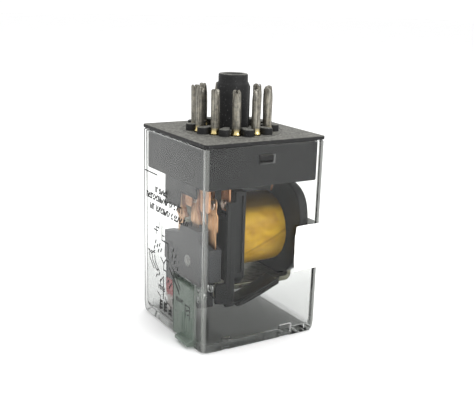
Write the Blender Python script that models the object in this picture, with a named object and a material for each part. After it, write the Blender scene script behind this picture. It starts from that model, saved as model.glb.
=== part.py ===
"""Plug-in changeover relay with an eleven-pin round base, a clear cover and an exposed coil.

The relay stands on the closed end of its cover, so +Z runs towards the pins, +X towards
the key rib of the centre post, and the test lever sits in the -X wall. "Front" is the -Y
side and "rear" the +Y side; the bobbin's near flange is the one at -X. Every length is in
millimetres and becomes metres in mesh_object. A pair of numbers is a (low, high) span
along one axis unless its comment says otherwise.
"""

import math

import bmesh
import bpy
from mathutils import Matrix, Vector

for old in list(bpy.data.objects):
    bpy.data.objects.remove(old, do_unlink=True)

MM = 0.001
WORLD = (0.0, 0.0, 0.0)
GAP = 0.3  # clearance between neighbouring parts
SMOOTH_TURNED = 40  # degrees; sharper edges of turned parts stay sharp
SMOOTH_WIRE = 60

# ---------------------------------------------------------------- base, pins and key post
FLANGE_W = 36.2  # square flange, standing slightly proud of the cover
FLANGE_CORNER = 1.1
FLANGE_Z = (54.0, 55.0)
SKIRT_Z = 43.0  # lower edge of the skirt
SKIRT_HALF = 16.7
SKIRT_WALL = 1.0
DECK_Z = 51.8  # underside of the solid deck
LATCH_X = 2.3  # half width of the latch windows
LATCH_Z = (49.0, 51.5)
TOOTH_Y = (16.5, 17.75)

PIN_COUNT = 11
PIN_CIRCLE_R = 9.82
PIN_R = 1.18
PIN_TIP_Z = 66.8
PIN_TAIL_Z = 50.3
PIN_FLARE_R = 1.42
PIN_FLARE_Z = FLANGE_Z[1] + 0.14
BARRIER_TOP = 56.8
BARRIER_R = (7.6, 11.1)  # radial span, up to the centre of the rounded nose
BARRIER_HALF = (0.8, 1.5)  # half widths at those radii; the second is the nose radius
POST_R = 4.3
POST_NECK_R = 3.92
POST_TOP = 70.0
POST_BORE_R = 2.4
POST_BORE_DEPTH = 9.0
KEY_X = (3.4, 5.0)
KEY_HALF = 0.8
KEY_Z = (66.6, 67.5)  # foot and head of the rib's chamfer

# ---------------------------------------------------------------- cover and seal
BODY_W = 36.1  # the cover at its open edge
COVER_W_END = 35.8  # the cover at its closed end: draft of the moulding
COVER_TOP = 53.7
COVER_WALL = 1.3
COVER_RIM_WALL = 1.0  # thinner wall round the skirt
COVER_STEP_Z = 42.7
COVER_FLOOR = 1.6
COVER_CORNER = 1.3
COVER_INNER_CORNER = 0.5
COVER_MID_Z = 26.0
REBATE_X = (-14.6, 14.3)
REBATE_DEPTH = 0.35
NOTCHES_X = ((-12.0, -9.5), (6.0, 10.0))
NOTCH_DEPTH = 0.85
POCKET_FACE_Z = 1.4  # height at which pocket depths are measured

SEAL_Z = (18.8, 31.3)
SEAL_FROM_X = 9.6
SEAL_FROM_Y = -9.5
SEAL_OFFSET = (0.06, 0.2)  # its two faces, measured out from the cover

# ---------------------------------------------------------------- coil and magnetic circuit
COIL_Z = 27.0  # height of the coil's axis, which runs along X
COIL_AXIS = (0, 0, COIL_Z)
CORE_R = 4.0
CORE_TAIL_R = 2.5
BOBBIN_TUBE_R = 5.0
TAPE_R = 10.0
TAPE_X = (-3.4, 12.3)
NEAR_FLANGE_X = (-7.0, -3.8)
NEAR_FLANGE_TOP = 41.6
FAR_FLANGE_X = (12.6, 15.3)
FAR_FLANGE_HALF = 15.7
FAR_FLANGE_MID_Z = 27.5
POLE_X = -7.7
POLE_GROOVE_R = (2.2, 3.4)  # radial span
POLE_GROOVE_DEPTH = 1.6
SHADING_RING_R = (2.35, 3.25)  # radial span

YOKE_HALF = 8.5
YOKE_TIP_X = -8.5
YOKE_LEG_Z = (12.5, 13.9)
YOKE_BACK_X = (14.3, 15.5)
YOKE_TOP = 36.0
YOKE_BEND_R = (0.8, 2.0)  # inside and outside radii

# ---------------------------------------------------------------- armature and contacts
HINGE = (-8.9, 0.0, 13.2)  # knife edge where the armature rocks on the yoke
ARMATURE_X = (-10.3, -9.0)
CARRIER_X = (-14.2, -10.6)
CARRIER_HALF = 13.9
CARRIER_END = 12.3
CARRIER_Z = (9.5, 17.8, 30.3)  # bottom, shoulder, top
ROW_PITCH = 8.1
ROW_Y = tuple(-11.6 + ROW_PITCH * k for k in range(3))  # the three contact sets
BETWEEN_ROWS = tuple(y + ROW_PITCH / 2 for y in ROW_Y[:2])
RIVET_YZ = (ROW_Y[1], 21.0)  # centre, as (y, z)
RIVET_R = 1.1
RIVET_SHANK_R = 0.8
RIVET_HEAD_R = 1.65

LEAF_X = (-12.2, -11.85)
LEAF_HALF = 2.4
LEAF_FOOT_HALF = 1.6
LEAF_Z = (23.6, 39.9)
CONTACT_Z = 38.0
CONTACT_R = 1.3
CONTACT_SHANK_R = 0.6
BUTTON_R = 1.25
TERMINAL_Z = (36.2, 49.8)
# fixed contacts: kind, X of the strip, X of the button, half width, shift in Y
TERMINALS = (
    ("nc", (-14.35, -13.85), (-14.0, -13.1), 1.8, 0.0),
    ("no", (-8.75, -8.25), (-9.5, -8.6), 2.0, -0.3),
)
SHIELD_X = (-15.15, -14.65)
SHIELD_TOP = 49.6
SHIELD_RIB_HALF = 0.35
LEAD_R = 0.55
LAST_LEAD_Y = 8.0
COIL_LEAD_R = 0.3
COIL_LEAD_Y = 4.2

SPRING_YZ = (-12.35, 15.9)  # axis, as (y, z)
SPRING_R = 0.95
SPRING_WIRE_R = 0.2
SPRING_X = (-13.4, -10.9)
SPRING_TURNS = 3
SPRING_STEPS = 10  # per turn

# ---------------------------------------------------------------- support frame
RAIL_Y = (14.2, 15.5)
# lower edge of the side rails, as (x, z)
RAIL_PATH = ((-14.2, 13.5), (-12.4, 11.6), (-8.6, 10.2), (-4.8, 10.7), (0.2, 12.2), (6.8, 14.8))
REAR_RAIL_FROM = -9.9
RAIL_H = 2.0
SHELF_FROM_X = -6.4
SHELF_FROM_Y = 9.0
SHELF_RISE = (0.1, 1.1)  # the shelf's faces above the rail's lower edge
POST_X = (-9.9, -7.4)
POST_FOOT_Z = 11.0
FRONT_POST_TOP = 39.2
REAR_POST_TOP = 24.0

# ---------------------------------------------------------------- test lever and flag
LEVER_Y = (-12.9, -1.5)
LEVER_X = (-17.95, -16.65)
LEVER_AXIS = (-15.9, 0.0, 15.2)  # a point on the pivot's line, which runs along Y
LEVER_ORIGIN = (LEVER_AXIS[0], sum(LEVER_Y) / 2, LEVER_AXIS[2])
LEVER_WALL_X = -17.15  # outer face of the ears and of the lever's web
LEVER_BARREL_R = 0.8
LEVER_PIN_R = 0.4
LEVER_BORE_R = LEVER_PIN_R + 0.1
LEVER_PIN_OVERHANG = 1.6
EAR_OFFSET = (0.5, 1.8)  # each ear's faces, measured out from the lever's end
TAB_Y = (-12.9, -6.1)

FLAG_X = (-15.35, -14.75)
FLAG_PIVOT = (sum(FLAG_X) / 2, 5.0, 5.2)
FLAG_AXIS = (0, FLAG_PIVOT[1], FLAG_PIVOT[2])
FLAG_PIN_R = 0.45


# ---------------------------------------------------------------- materials
def material(name, rgb, rough, metal=0.0, alpha=1.0, transmission=0.0):
    mat = bpy.data.materials.new(name)
    mat.use_nodes = True
    inputs = mat.node_tree.nodes["Principled BSDF"].inputs
    inputs["Base Color"].default_value = (*rgb, 1.0)
    inputs["Roughness"].default_value = rough
    inputs["Metallic"].default_value = metal
    inputs["Alpha"].default_value = alpha
    inputs["Transmission Weight"].default_value = transmission
    mat.diffuse_color = (*rgb, alpha)
    return mat


MAT = {
    "phenolic": material("black_phenolic", rgb=(0.035, 0.035, 0.037), rough=0.55),
    "nylon": material("black_nylon", rgb=(0.022, 0.023, 0.025), rough=0.4),
    "grey": material("grey_thermoset", rgb=(0.09, 0.092, 0.095), rough=0.5),
    "clear": material(
        "clear_polycarbonate", rgb=(0.93, 0.95, 0.95), rough=0.06, alpha=0.22, transmission=0.9
    ),
    "nickel": material("tarnished_nickel", rgb=(0.42, 0.39, 0.33), rough=0.35, metal=1.0),
    "tape": material("amber_tape", rgb=(0.48, 0.28, 0.05), rough=0.3),
    "copper": material("copper", rgb=(0.72, 0.38, 0.2), rough=0.3, metal=1.0),
    "bronze": material("spring_bronze", rgb=(0.66, 0.4, 0.24), rough=0.28, metal=1.0),
    "silver": material("contact_silver", rgb=(0.8, 0.8, 0.78), rough=0.22, metal=1.0),
    "brass": material("brass", rgb=(0.62, 0.47, 0.22), rough=0.3, metal=1.0),
    "steel": material("zinc_steel", rgb=(0.3, 0.3, 0.25), rough=0.38, metal=1.0),
    "chrome": material("spring_steel", rgb=(0.75, 0.75, 0.75), rough=0.15, metal=1.0),
    "green": material(
        "green_tint", rgb=(0.12, 0.3, 0.16), rough=0.15, alpha=0.7, transmission=0.6
    ),
    "red": material("red_indicator", rgb=(0.5, 0.03, 0.04), rough=0.4),
    "paper": material("white_paper", rgb=(0.9, 0.9, 0.88), rough=0.75),
}


# ---------------------------------------------------------------- objects and booleans
def mesh_object(name, bm, origin):
    """Turns a bmesh in millimetres and world axes into an object whose origin is at origin."""
    bmesh.ops.remove_doubles(bm, verts=bm.verts, dist=1e-4)
    bmesh.ops.recalc_face_normals(bm, faces=bm.faces)
    for vert in bm.verts:
        vert.co = (vert.co - Vector(origin)) * MM
    mesh = bpy.data.meshes.new(name)
    bm.to_mesh(mesh)
    bm.free()
    obj = bpy.data.objects.new(name, mesh)
    obj.location = Vector(origin) * MM
    bpy.context.scene.collection.objects.link(obj)
    return obj


def solid(name, bm, mat, origin=WORLD, smooth=None):
    """A visible piece; smooth is the angle in degrees above which edges stay sharp."""
    obj = mesh_object(name, bm, origin)
    obj.data.materials.append(MAT[mat])
    if smooth:
        obj.data.shade_smooth()
        obj.data.set_sharp_from_angle(angle=math.radians(smooth))
    return obj


def cutter(name, bm, origin=WORLD):
    """A hidden operand for boolean modifiers."""
    obj = mesh_object("cut_" + name, bm, origin)
    obj.hide_render = True
    obj.display_type = "WIRE"
    return obj


def combine(obj, others, operation):
    for other in others:
        mod = obj.modifiers.new(operation.lower() + "_" + other.name, "BOOLEAN")
        mod.operation = operation
        mod.solver = "EXACT"
        mod.object = other


def add(obj, *others):
    combine(obj, others, "UNION")


def cut(obj, *others):
    combine(obj, others, "DIFFERENCE")


# ---------------------------------------------------------------- outlines and curves
def arc(centre, radius, degrees):
    """Points of a circle at the given angles."""
    angles = [math.radians(a) for a in degrees]
    return [(centre[0] + radius * math.cos(a), centre[1] + radius * math.sin(a)) for a in angles]


def rounded_square(half, radius):
    """Points of a rounded square, anticlockwise seen from +Z."""
    points = []
    for sx, sy, start in ((1, 1, 0), (-1, 1, 90), (-1, -1, 180), (1, -1, 270)):
        centre = (sx * (half - radius), sy * (half - radius))
        points += arc(centre, radius, [start + 30 * k for k in range(4)])
    return points


def at_height(points, z):
    return [(x, y, z) for x, y in points]


def catmull(points, steps=3):
    """A smooth curve through control points."""
    p = [Vector(q) for q in points]
    p = [2 * p[0] - p[1]] + p + [2 * p[-1] - p[-2]]
    curve = []
    for i in range(1, len(p) - 2):
        before, start, end, after = p[i - 1 : i + 3]
        for k in range(steps):
            t = k / steps
            linear = (end - before) * t
            square = (2 * before - 5 * start + 4 * end - after) * t * t
            cube = (3 * start - before - 3 * end + after) * t**3
            curve.append(0.5 * (2 * start + linear + square + cube))
    curve.append(p[-2])
    return curve


def band(path, low, high):
    """Closed outline between two heights above an (x, z) path."""
    return [(p.x, p.y + low) for p in path] + [(p.x, p.y + high) for p in reversed(path)]


# ---------------------------------------------------------------- mesh helpers
# Each adds to the bmesh it is given, or to a new one, and returns it.
def box(x, y, z, bm=None):
    bm = bm or bmesh.new()
    low, high = (Vector(corner) for corner in zip(x, y, z))
    place = Matrix.Translation((low + high) / 2) @ Matrix.Diagonal((*(high - low), 1.0))
    bmesh.ops.create_cube(bm, size=1.0, matrix=place)
    return bm


def lay(axis, u, v, w):
    """Places a profile point (u, v) at distance w along the given axis."""
    return Vector({"x": (w, u, v), "y": (u, w, v), "z": (u, v, w)}[axis])


def prism(points, axis, span, bm=None):
    """Extrudes a closed outline between two distances along an axis."""
    bm = bm or bmesh.new()
    face = bm.faces.new([bm.verts.new(lay(axis, u, v, span[0])) for u, v in points])
    grown = bmesh.ops.extrude_face_region(bm, geom=[face])["geom"]
    verts = [item for item in grown if isinstance(item, bmesh.types.BMVert)]
    bmesh.ops.translate(bm, vec=lay(axis, 0.0, 0.0, span[1] - span[0]), verts=verts)
    return bm


def circle(bm, radius, axis, centre, height, steps):
    angles = [2 * math.pi * i / steps for i in range(steps)]
    return [
        bm.verts.new(
            Vector(centre) + lay(axis, radius * math.cos(a), radius * math.sin(a), height)
        )
        for a in angles
    ]


def turned(profile, axis, centre, steps, bm=None):
    """Spins an open profile of (radius, height) points that starts and ends on the axis."""
    bm = bm or bmesh.new()
    rings = []
    for radius, height in profile:
        # a point on the axis is a single vertex
        count = steps if radius > 0 else 1
        rings.append(circle(bm, radius, axis, centre, height, count))
    for a, b in zip(rings, rings[1:]):
        for i in range(steps):
            j = (i + 1) % steps
            quad = [a[i % len(a)], a[j % len(a)], b[j % len(b)], b[i % len(b)]]
            bm.faces.new(list(dict.fromkeys(quad)))
    return bm


def rod(radius, axis, span, centre=WORLD, steps=12, bm=None):
    """A plain cylinder between two distances along its axis."""
    profile = [(0, span[0]), (radius, span[0]), (radius, span[1]), (0, span[1])]
    return turned(profile, axis, centre, steps, bm)


def sleeve(radii, axis, centre, span, steps):
    """A plain tube between two radii."""
    bm = bmesh.new()
    (r_in, r_out), (low, high) = radii, span
    loops = [
        circle(bm, radius, axis, centre, height, steps)
        for radius, height in ((r_in, low), (r_out, low), (r_out, high), (r_in, high))
    ]
    for a, b in zip(loops, loops[1:] + loops[:1]):
        join_rings(bm, a, b)
    return bm


def join_rings(bm, a, b):
    for i in range(len(a)):
        j = (i + 1) % len(a)
        bm.faces.new((a[i], a[j], b[j], b[i]))


def loft(rings):
    """Joins rings of equal length and closes the first and the last."""
    bm = bmesh.new()
    made = [[bm.verts.new(p) for p in ring] for ring in rings]
    for a, b in zip(made, made[1:]):
        join_rings(bm, a, b)
    bm.faces.new(made[0])
    bm.faces.new(made[-1])
    return bm


def wire(path, radius, sides):
    """Sweeps a round section along a path, with flat ends."""
    points = [Vector(p) for p in path]
    tangents = [
        (after - before).normalized()
        for before, after in zip(points[:1] + points[:-1], points[1:] + points[-1:])
    ]
    angles = [2 * math.pi * k / sides for k in range(sides)]
    normal = tangents[0].orthogonal().normalized()
    rings = []
    for point, tangent in zip(points, tangents):
        normal = (normal - tangent * normal.dot(tangent)).normalized()
        side = tangent.cross(normal)
        ring = [point + radius * (math.cos(a) * normal + math.sin(a) * side) for a in angles]
        rings.append(ring)
    return loft(rings)


# ---------------------------------------------------------------- base
def barrier_ring():
    """Radial barriers on the flange, one between each two pins."""
    bm = bmesh.new()
    root, nose = BARRIER_R
    root_half, nose_half = BARRIER_HALF
    outline = [(root, -root_half), (nose, -nose_half)]
    outline += arc((nose, 0), nose_half, (-60, -30, 0, 30, 60))
    outline += [(nose, nose_half), (root, root_half)]
    for k in range(PIN_COUNT):
        turn = Matrix.Rotation(2 * math.pi * k / PIN_COUNT, 2)
        points = [tuple(turn @ Vector(p)) for p in outline]
        prism(points, "z", (FLANGE_Z[1] - 0.5, BARRIER_TOP), bm)
    return bm


def key_post():
    """Centre post with a necked, chamfered tip and a blind bore."""
    foot = FLANGE_Z[1] - 0.6
    bore_floor = POST_TOP - POST_BORE_DEPTH
    profile = [
        (0, foot),
        (POST_R, foot),
        (POST_R, POST_TOP - 2.6),
        (POST_NECK_R, POST_TOP - 2.1),
        (POST_NECK_R, POST_TOP - 0.45),
        (POST_NECK_R - 0.4, POST_TOP),
        (POST_BORE_R + 0.35, POST_TOP),
        (POST_BORE_R, POST_TOP - 0.35),
        (POST_BORE_R - 0.1, bore_floor),
        (0, bore_floor),
    ]
    return turned(profile, "z", WORLD, 32)


def key_rib():
    foot = FLANGE_Z[1] - 0.4
    (inner, outer), (shoulder, top) = KEY_X, KEY_Z
    outline = [(inner, foot), (outer, foot), (outer, shoulder), (outer - 0.6, top), (inner, top)]
    return prism(outline, "y", (-KEY_HALF, KEY_HALF))


def pin_stations():
    """Angle and centre of each pin."""
    for k in range(PIN_COUNT):
        angle = 2 * math.pi * (k + 0.5) / PIN_COUNT
        yield angle, (PIN_CIRCLE_R * math.cos(angle), PIN_CIRCLE_R * math.sin(angle), 0)


def build_base():
    flange = rounded_square(FLANGE_W / 2, FLANGE_CORNER)
    base = solid("base_block", prism(flange, "z", FLANGE_Z), "phenolic")
    skirt = prism(rounded_square(SKIRT_HALF, 0.9), "z", (SKIRT_Z, FLANGE_Z[0] + 0.4))
    hollow = prism(rounded_square(SKIRT_HALF - SKIRT_WALL, 0.6), "z", (SKIRT_Z - 1, DECK_Z))
    teeth = bmesh.new()
    for tooth_y in ((-TOOTH_Y[1], -TOOTH_Y[0]), TOOTH_Y):
        tooth_x = (-LATCH_X + GAP, LATCH_X - GAP)
        box(x=tooth_x, y=tooth_y, z=(LATCH_Z[0] + GAP, LATCH_Z[1] - GAP), bm=teeth)
    holes = bmesh.new()
    for _, centre in pin_stations():
        rod(PIN_R + GAP, "z", (DECK_Z - 2, FLANGE_Z[1] + 2), centre, bm=holes)

    add(base, cutter("skirt", skirt))
    cut(base, cutter("skirt_hollow", hollow))
    add(
        base,
        cutter("latch_teeth", teeth),
        cutter("barriers", barrier_ring()),
        cutter("key_post", key_post()),
        cutter("key_rib", key_rib()),
    )
    cut(base, cutter("pin_holes", holes))


def build_pins():
    """Eleven hollow pins that share one mesh."""
    tip, flare = PIN_TIP_Z, PIN_FLARE_Z
    profile = [
        (0, PIN_TAIL_Z),
        (PIN_R - 0.2, PIN_TAIL_Z),
        (PIN_R, PIN_TAIL_Z + 0.3),
        (PIN_R, flare),
        (PIN_FLARE_R, flare),
        (PIN_FLARE_R, flare + 0.35),
        (PIN_R, flare + 0.75),
        (PIN_R, tip - 1.2),
        (PIN_R - 0.16, tip - 0.55),
        (PIN_R - 0.45, tip - 0.1),
        (PIN_R - 0.62, tip),
        # down into the open tip
        (PIN_R - 0.72, tip - 0.35),
        (PIN_R - 0.66, tip - 6.5),
        (0, tip - 6.9),
    ]
    shape = turned(profile, "z", WORLD, 12)
    first = solid("pin_01", shape, "nickel", smooth=SMOOTH_TURNED)
    for k, (angle, centre) in enumerate(pin_stations()):
        pin = first
        if k > 0:
            pin = bpy.data.objects.new("pin_%02d" % (k + 1), first.data)
            bpy.context.scene.collection.objects.link(pin)
        pin.location = Vector(centre) * MM
        pin.rotation_euler = (0, 0, angle)


# ---------------------------------------------------------------- cover and seal
def cover_half(z):
    """Half the cover's width at height z, as its walls draft."""
    return (COVER_W_END + (BODY_W - COVER_W_END) * z / COVER_TOP) / 2


def cover_shell():
    # stations as (z, inset from the drafted wall): up the outside, then down the inside
    outside = ((0.0, 0.75), (0.22, 0.3), (0.8, 0.0), (COVER_MID_Z, 0.0), (COVER_TOP, 0.0))
    inside = (
        (COVER_TOP, COVER_RIM_WALL),
        (COVER_STEP_Z + 0.05, COVER_RIM_WALL),
        (COVER_STEP_Z - 0.2, COVER_WALL),
        (COVER_MID_Z, COVER_WALL),
        (COVER_FLOOR + 0.6, COVER_WALL),
        (COVER_FLOOR, COVER_WALL + 0.5),
    )
    rings = []
    for z, inset in outside:
        corner = COVER_CORNER - inset / 2
        rings.append(at_height(rounded_square(cover_half(z) - inset, corner), z))
    for z, inset in inside:
        outline = rounded_square(cover_half(z) - inset, COVER_INNER_CORNER)
        rings.append(at_height(outline, z))
    return loft(rings)


def wall_pockets(spans_x, depth, reach, z):
    """Boxes that cut to a depth into the -Y and +Y walls, from y = reach outside them."""
    bm = bmesh.new()
    face = cover_half(POCKET_FACE_Z) - depth
    for side in (-1, 1):
        for x in spans_x:
            box(x=x, y=sorted((side * reach, side * face)), z=z, bm=bm)
    return bm


def build_cover():
    cover = solid("clear_cover", cover_shell(), "clear")
    front, rear = LEVER_Y
    near, far = EAR_OFFSET
    slot = box(x=(-20, -16.3), y=(front - GAP, rear + GAP), z=(-1, 17.8))
    windows = box(x=(-LATCH_X, LATCH_X), y=(-20, 20), z=LATCH_Z)
    ears = bmesh.new()
    for ear_y in ((front - far, front - near), (rear + near, rear + far)):
        box(x=(LEVER_WALL_X, -15.1), y=ear_y, z=(13.3, 17.1), bm=ears)
    cut(
        cover,
        cutter("latch_windows", windows),
        cutter("lever_slot", slot),
        cutter("end_rebates", wall_pockets((REBATE_X,), REBATE_DEPTH, 20, (-1, 2.7))),
        cutter("end_notches", wall_pockets(NOTCHES_X, NOTCH_DEPTH, 20.5, (-1.5, 3.6))),
    )
    add(cover, cutter("lever_ears", ears))
    cut(cover, cutter("ear_bore", rod(LEVER_BORE_R, "y", (-16.5, 0.5), LEVER_AXIS)))


def build_seal():
    """Sticker wrapped round the cover's upright edge at +X, -Y."""
    rings = []
    for z in SEAL_Z:
        half = cover_half(z)
        centre = (half - COVER_CORNER, -half + COVER_CORNER)
        faces = []
        for offset in SEAL_OFFSET:
            corner = arc(centre, COVER_CORNER + offset, (-90, -67.5, -45, -22.5, 0))
            reach = half + offset
            faces.append([(SEAL_FROM_X, -reach)] + corner + [(reach, SEAL_FROM_Y)])
        rings.append(at_height(faces[0] + faces[1][::-1], z))
    solid("seal_sticker", loft(rings), "paper")


# ---------------------------------------------------------------- support frame
def build_frame():
    """Posts, side rails, shelves and cross bar, with the bracket for the indicator flag."""
    inner, outer = RAIL_Y
    path = catmull(RAIL_PATH)
    rail = prism(band(path, 0, RAIL_H), "y", (-outer, -inner))
    frame = solid("support_frame", rail, "nylon")

    posts = bmesh.new()
    for side, top in ((-1, FRONT_POST_TOP), (1, REAR_POST_TOP)):
        post_y = sorted((side * inner, side * (outer - 0.1)))
        box(x=POST_X, y=post_y, z=(POST_FOOT_Z, top), bm=posts)
    tongue = box(x=(-9.3, -7.8), y=(-15.05, -14.6), z=(36.0, 49.0))
    cheek = [(-12.9, 12.4), (-7.6, 11.4), (-7.6, 17.6), (-12.2, 17.6), (-12.9, 17.0)]
    rear_path = [p for p in path if p.x >= REAR_RAIL_FROM]
    shelf = band([p for p in path if p.x >= SHELF_FROM_X], *SHELF_RISE)
    shelf_edge = outer - 0.25
    crossbar = box(x=(-6.2, -3.4), y=(-inner - 0.6, inner + 0.6), z=(10.55, 12.15))
    bracket = [(-14.3, 3.8), (-3.7, 3.8), (-3.7, 11.2), (-5.9, 11.2), (-5.9, 6.6), (-14.3, 6.6)]
    bracket_y = (FLAG_PIVOT[1] - 1.4, FLAG_PIVOT[1] + 1.4)
    add(
        frame,
        cutter("posts", posts),
        cutter("tongue", tongue),
        cutter("side_cheek", prism(cheek, "y", (-outer + 0.15, -inner))),
        cutter("rear_rail", prism(band(rear_path, 0, RAIL_H), "y", RAIL_Y)),
        cutter("front_shelf", prism(shelf, "y", (-shelf_edge, -SHELF_FROM_Y))),
        cutter("rear_shelf", prism(shelf, "y", (SHELF_FROM_Y, shelf_edge))),
        cutter("crossbar", crossbar),
        cutter("flag_bracket", prism(bracket, "y", bracket_y)),
    )
    cut(frame, cutter("bracket_bore", rod(0.6, "x", (-16.0, -11.8), FLAG_AXIS)))


# ---------------------------------------------------------------- coil
def far_flange_outline(steps=44):
    """A shield shape: nearly square above its centre, round below it."""
    points = []
    for k in range(steps):
        angle = 2 * math.pi * k / steps
        c, s = math.cos(angle), math.sin(angle)
        power, height = (3.6, 14.1) if s > 0 else (2.0, 14.6)
        reach = (abs(c) ** power + abs(s) ** power) ** (-1 / power)
        points.append((FAR_FLANGE_HALF * reach * c, FAR_FLANGE_MID_Z + height * reach * s))
    return points


def build_bobbin():
    top = NEAR_FLANGE_TOP
    near_flange = [
        (-14.3, 18.2), (-12.4, 15.8), (12.4, 15.8), (14.3, 18.2), (14.3, top), (-14.3, top),
    ]
    bobbin = solid("bobbin", prism(near_flange, "x", NEAR_FLANGE_X), "nylon")
    yoke_y = (-YOKE_HALF - GAP, YOKE_HALF + GAP)
    barrel_x = (NEAR_FLANGE_X[0] + 0.5, 13.4)
    leg_notch = box(x=(11, 16.5), y=yoke_y, z=(5, YOKE_LEG_Z[1] + GAP))
    yoke_pocket = box(x=(YOKE_BACK_X[0] - GAP, 17), y=yoke_y, z=(5, YOKE_TOP + GAP))
    web = box(x=(-7.6, -5.2), y=(-11.2, 11.2), z=(33.6, 39.6))
    add(
        bobbin,
        cutter("bobbin_tube", rod(BOBBIN_TUBE_R, "x", barrel_x, COIL_AXIS, steps=24)),
        cutter("far_flange", prism(far_flange_outline(), "x", FAR_FLANGE_X)),
    )
    cut(
        bobbin,
        cutter("bobbin_bore", rod(CORE_R + GAP, "x", (-9, 15), COIL_AXIS, steps=24)),
        cutter("leg_notch", leg_notch),
        cutter("yoke_pocket", yoke_pocket),
        cutter("flange_web", web),
    )


def build_winding():
    radii = (BOBBIN_TUBE_R + GAP, TAPE_R - 0.9)
    span = (NEAR_FLANGE_X[1] + GAP, FAR_FLANGE_X[0] - GAP)
    winding = sleeve(radii, "x", COIL_AXIS, span, 32)
    solid("coil_winding", winding, "copper", smooth=SMOOTH_TURNED)
    tape = sleeve((TAPE_R - 0.6, TAPE_R), "x", COIL_AXIS, TAPE_X, 40)
    solid("insulation_tape", tape, "tape", smooth=SMOOTH_TURNED)


# ---------------------------------------------------------------- magnetic circuit
def build_core():
    """Iron core with a ring groove in its pole face, and the shading ring in that groove."""
    groove_in, groove_out = POLE_GROOVE_R
    groove_floor = POLE_X + POLE_GROOVE_DEPTH
    shoulder = YOKE_BACK_X[0] - GAP
    tail = YOKE_BACK_X[1] - 0.05
    profile = [
        (0, POLE_X),
        (groove_in, POLE_X),
        (groove_in, groove_floor),
        (groove_out, groove_floor),
        (groove_out, POLE_X),
        (CORE_R, POLE_X),
        (CORE_R, shoulder),
        (CORE_TAIL_R, shoulder),
        (CORE_TAIL_R, tail),
        (0, tail),
    ]
    core = turned(profile, "x", COIL_AXIS, 24)
    solid("iron_core", core, "steel", smooth=SMOOTH_TURNED)
    ring = sleeve(SHADING_RING_R, "x", COIL_AXIS, (POLE_X - 0.06, POLE_X + 1.4), 24)
    solid("shading_ring", ring, "copper", smooth=SMOOTH_TURNED)


def build_yoke():
    """L-shaped strip: a leg under the coil and a back behind the far flange."""
    bottom, leg_top = YOKE_LEG_Z
    inner, outer = YOKE_BACK_X
    r_in, r_out = YOKE_BEND_R
    outline = [(YOKE_TIP_X, bottom)]
    outline += arc((outer - r_out, bottom + r_out), r_out, (-90, -67.5, -45, -22.5, 0))
    outline += [(outer, YOKE_TOP), (inner, YOKE_TOP)]
    # this arc bulges down and out, so the inside corner keeps a small cusp
    outline += arc((inner - r_in, leg_top + r_in), r_in, (0, -45, -90))
    outline += [(YOKE_TIP_X, leg_top)]
    yoke = solid("yoke", prism(outline, "y", (-YOKE_HALF, YOKE_HALF)), "steel")
    cut(yoke, cutter("core_hole", rod(CORE_TAIL_R + GAP, "x", (12, 17), COIL_AXIS, steps=24)))


def build_armature(rivet_bore):
    outline = [(-8.2, 11.4), (-8.2, 31.4), (-6.0, 33.6), (6.0, 33.6), (8.2, 31.4), (8.2, 11.4)]
    armature = solid("armature", prism(outline, "x", ARMATURE_X), "steel", origin=HINGE)
    cut(armature, rivet_bore)


# ---------------------------------------------------------------- carrier and moving contacts
def build_carrier(rivet_bore):
    bottom, shoulder, top = CARRIER_Z
    outline = [
        (-10.1, bottom), (9.6, bottom), (9.6, shoulder), (CARRIER_END, shoulder),
        (CARRIER_END, 25.1), (11.8, 25.6), (1.9, 27.7), (1.1, top),
        (-8.4, top), (-9.2, 27.6), (-CARRIER_HALF, 26.6), (-CARRIER_HALF, shoulder),
        (-10.1, shoulder),
    ]
    carrier = solid("contact_carrier", prism(outline, "x", CARRIER_X), "grey", origin=HINGE)
    grooves = bmesh.new()
    groove_half = LEAF_FOOT_HALF + GAP
    for y in ROW_Y:
        box(
            x=(LEAF_X[0] - 0.4, LEAF_X[1] + 0.4),
            y=(y - groove_half, y + groove_half),
            z=(LEAF_Z[0] - 0.4, top + 1),
            bm=grooves,
        )
    relief = box(x=(-11.9, -9.0), y=(-8.6, 8.6), z=(8.0, 16.4))
    # (x, y) wedge off the edge at -X, +Y
    chamfer = prism([(-14.6, 9.4), (-14.6, 14.6), (-12.2, 14.6)], "z", (8.0, 32.0))
    cut(
        carrier,
        cutter("leaf_grooves", grooves, HINGE),
        cutter("lower_relief", relief, HINGE),
        cutter("far_chamfer", chamfer, HINGE),
        rivet_bore,
    )


def build_rivet():
    """Joins the carrier to the armature; its head is at -X."""
    face = CARRIER_X[0]
    end = ARMATURE_X[1] + 0.02
    profile = [
        (0, face - 0.5),
        (RIVET_R, face - 0.42),
        (RIVET_HEAD_R, face - 0.08),
        (RIVET_HEAD_R, face - 0.05),
        (RIVET_SHANK_R, face - 0.05),
        (RIVET_SHANK_R, end),
        (0, end),
    ]
    rivet = turned(profile, "x", (0, *RIVET_YZ), 16)
    solid("carrier_rivet", rivet, "steel", HINGE, SMOOTH_TURNED)


def build_moving_leaf(number, y):
    bottom, top = LEAF_Z
    # one edge of the leaf, as (half width, z)
    edge = [
        (LEAF_FOOT_HALF, bottom),
        (LEAF_FOOT_HALF, 30.9),
        (LEAF_HALF, 31.4),
        (LEAF_HALF, 35.2),
        (LEAF_HALF - 0.7, 36.4),
        (LEAF_HALF - 0.7, top - 0.6),
        (LEAF_HALF - 1.3, top),
    ]
    right = [(y + half, z) for half, z in edge]
    left = [(y - half, z) for half, z in edge]
    outline = left[:1] + right + left[:0:-1]
    leaf = solid("moving_leaf_%d" % number, prism(outline, "x", LEAF_X), "bronze", HINGE)
    bore = rod(0.8, "x", (-13.5, -10.5), (0, y, CONTACT_Z))
    cut(leaf, cutter("leaf_bore_%d" % number, bore, HINGE))


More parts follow.
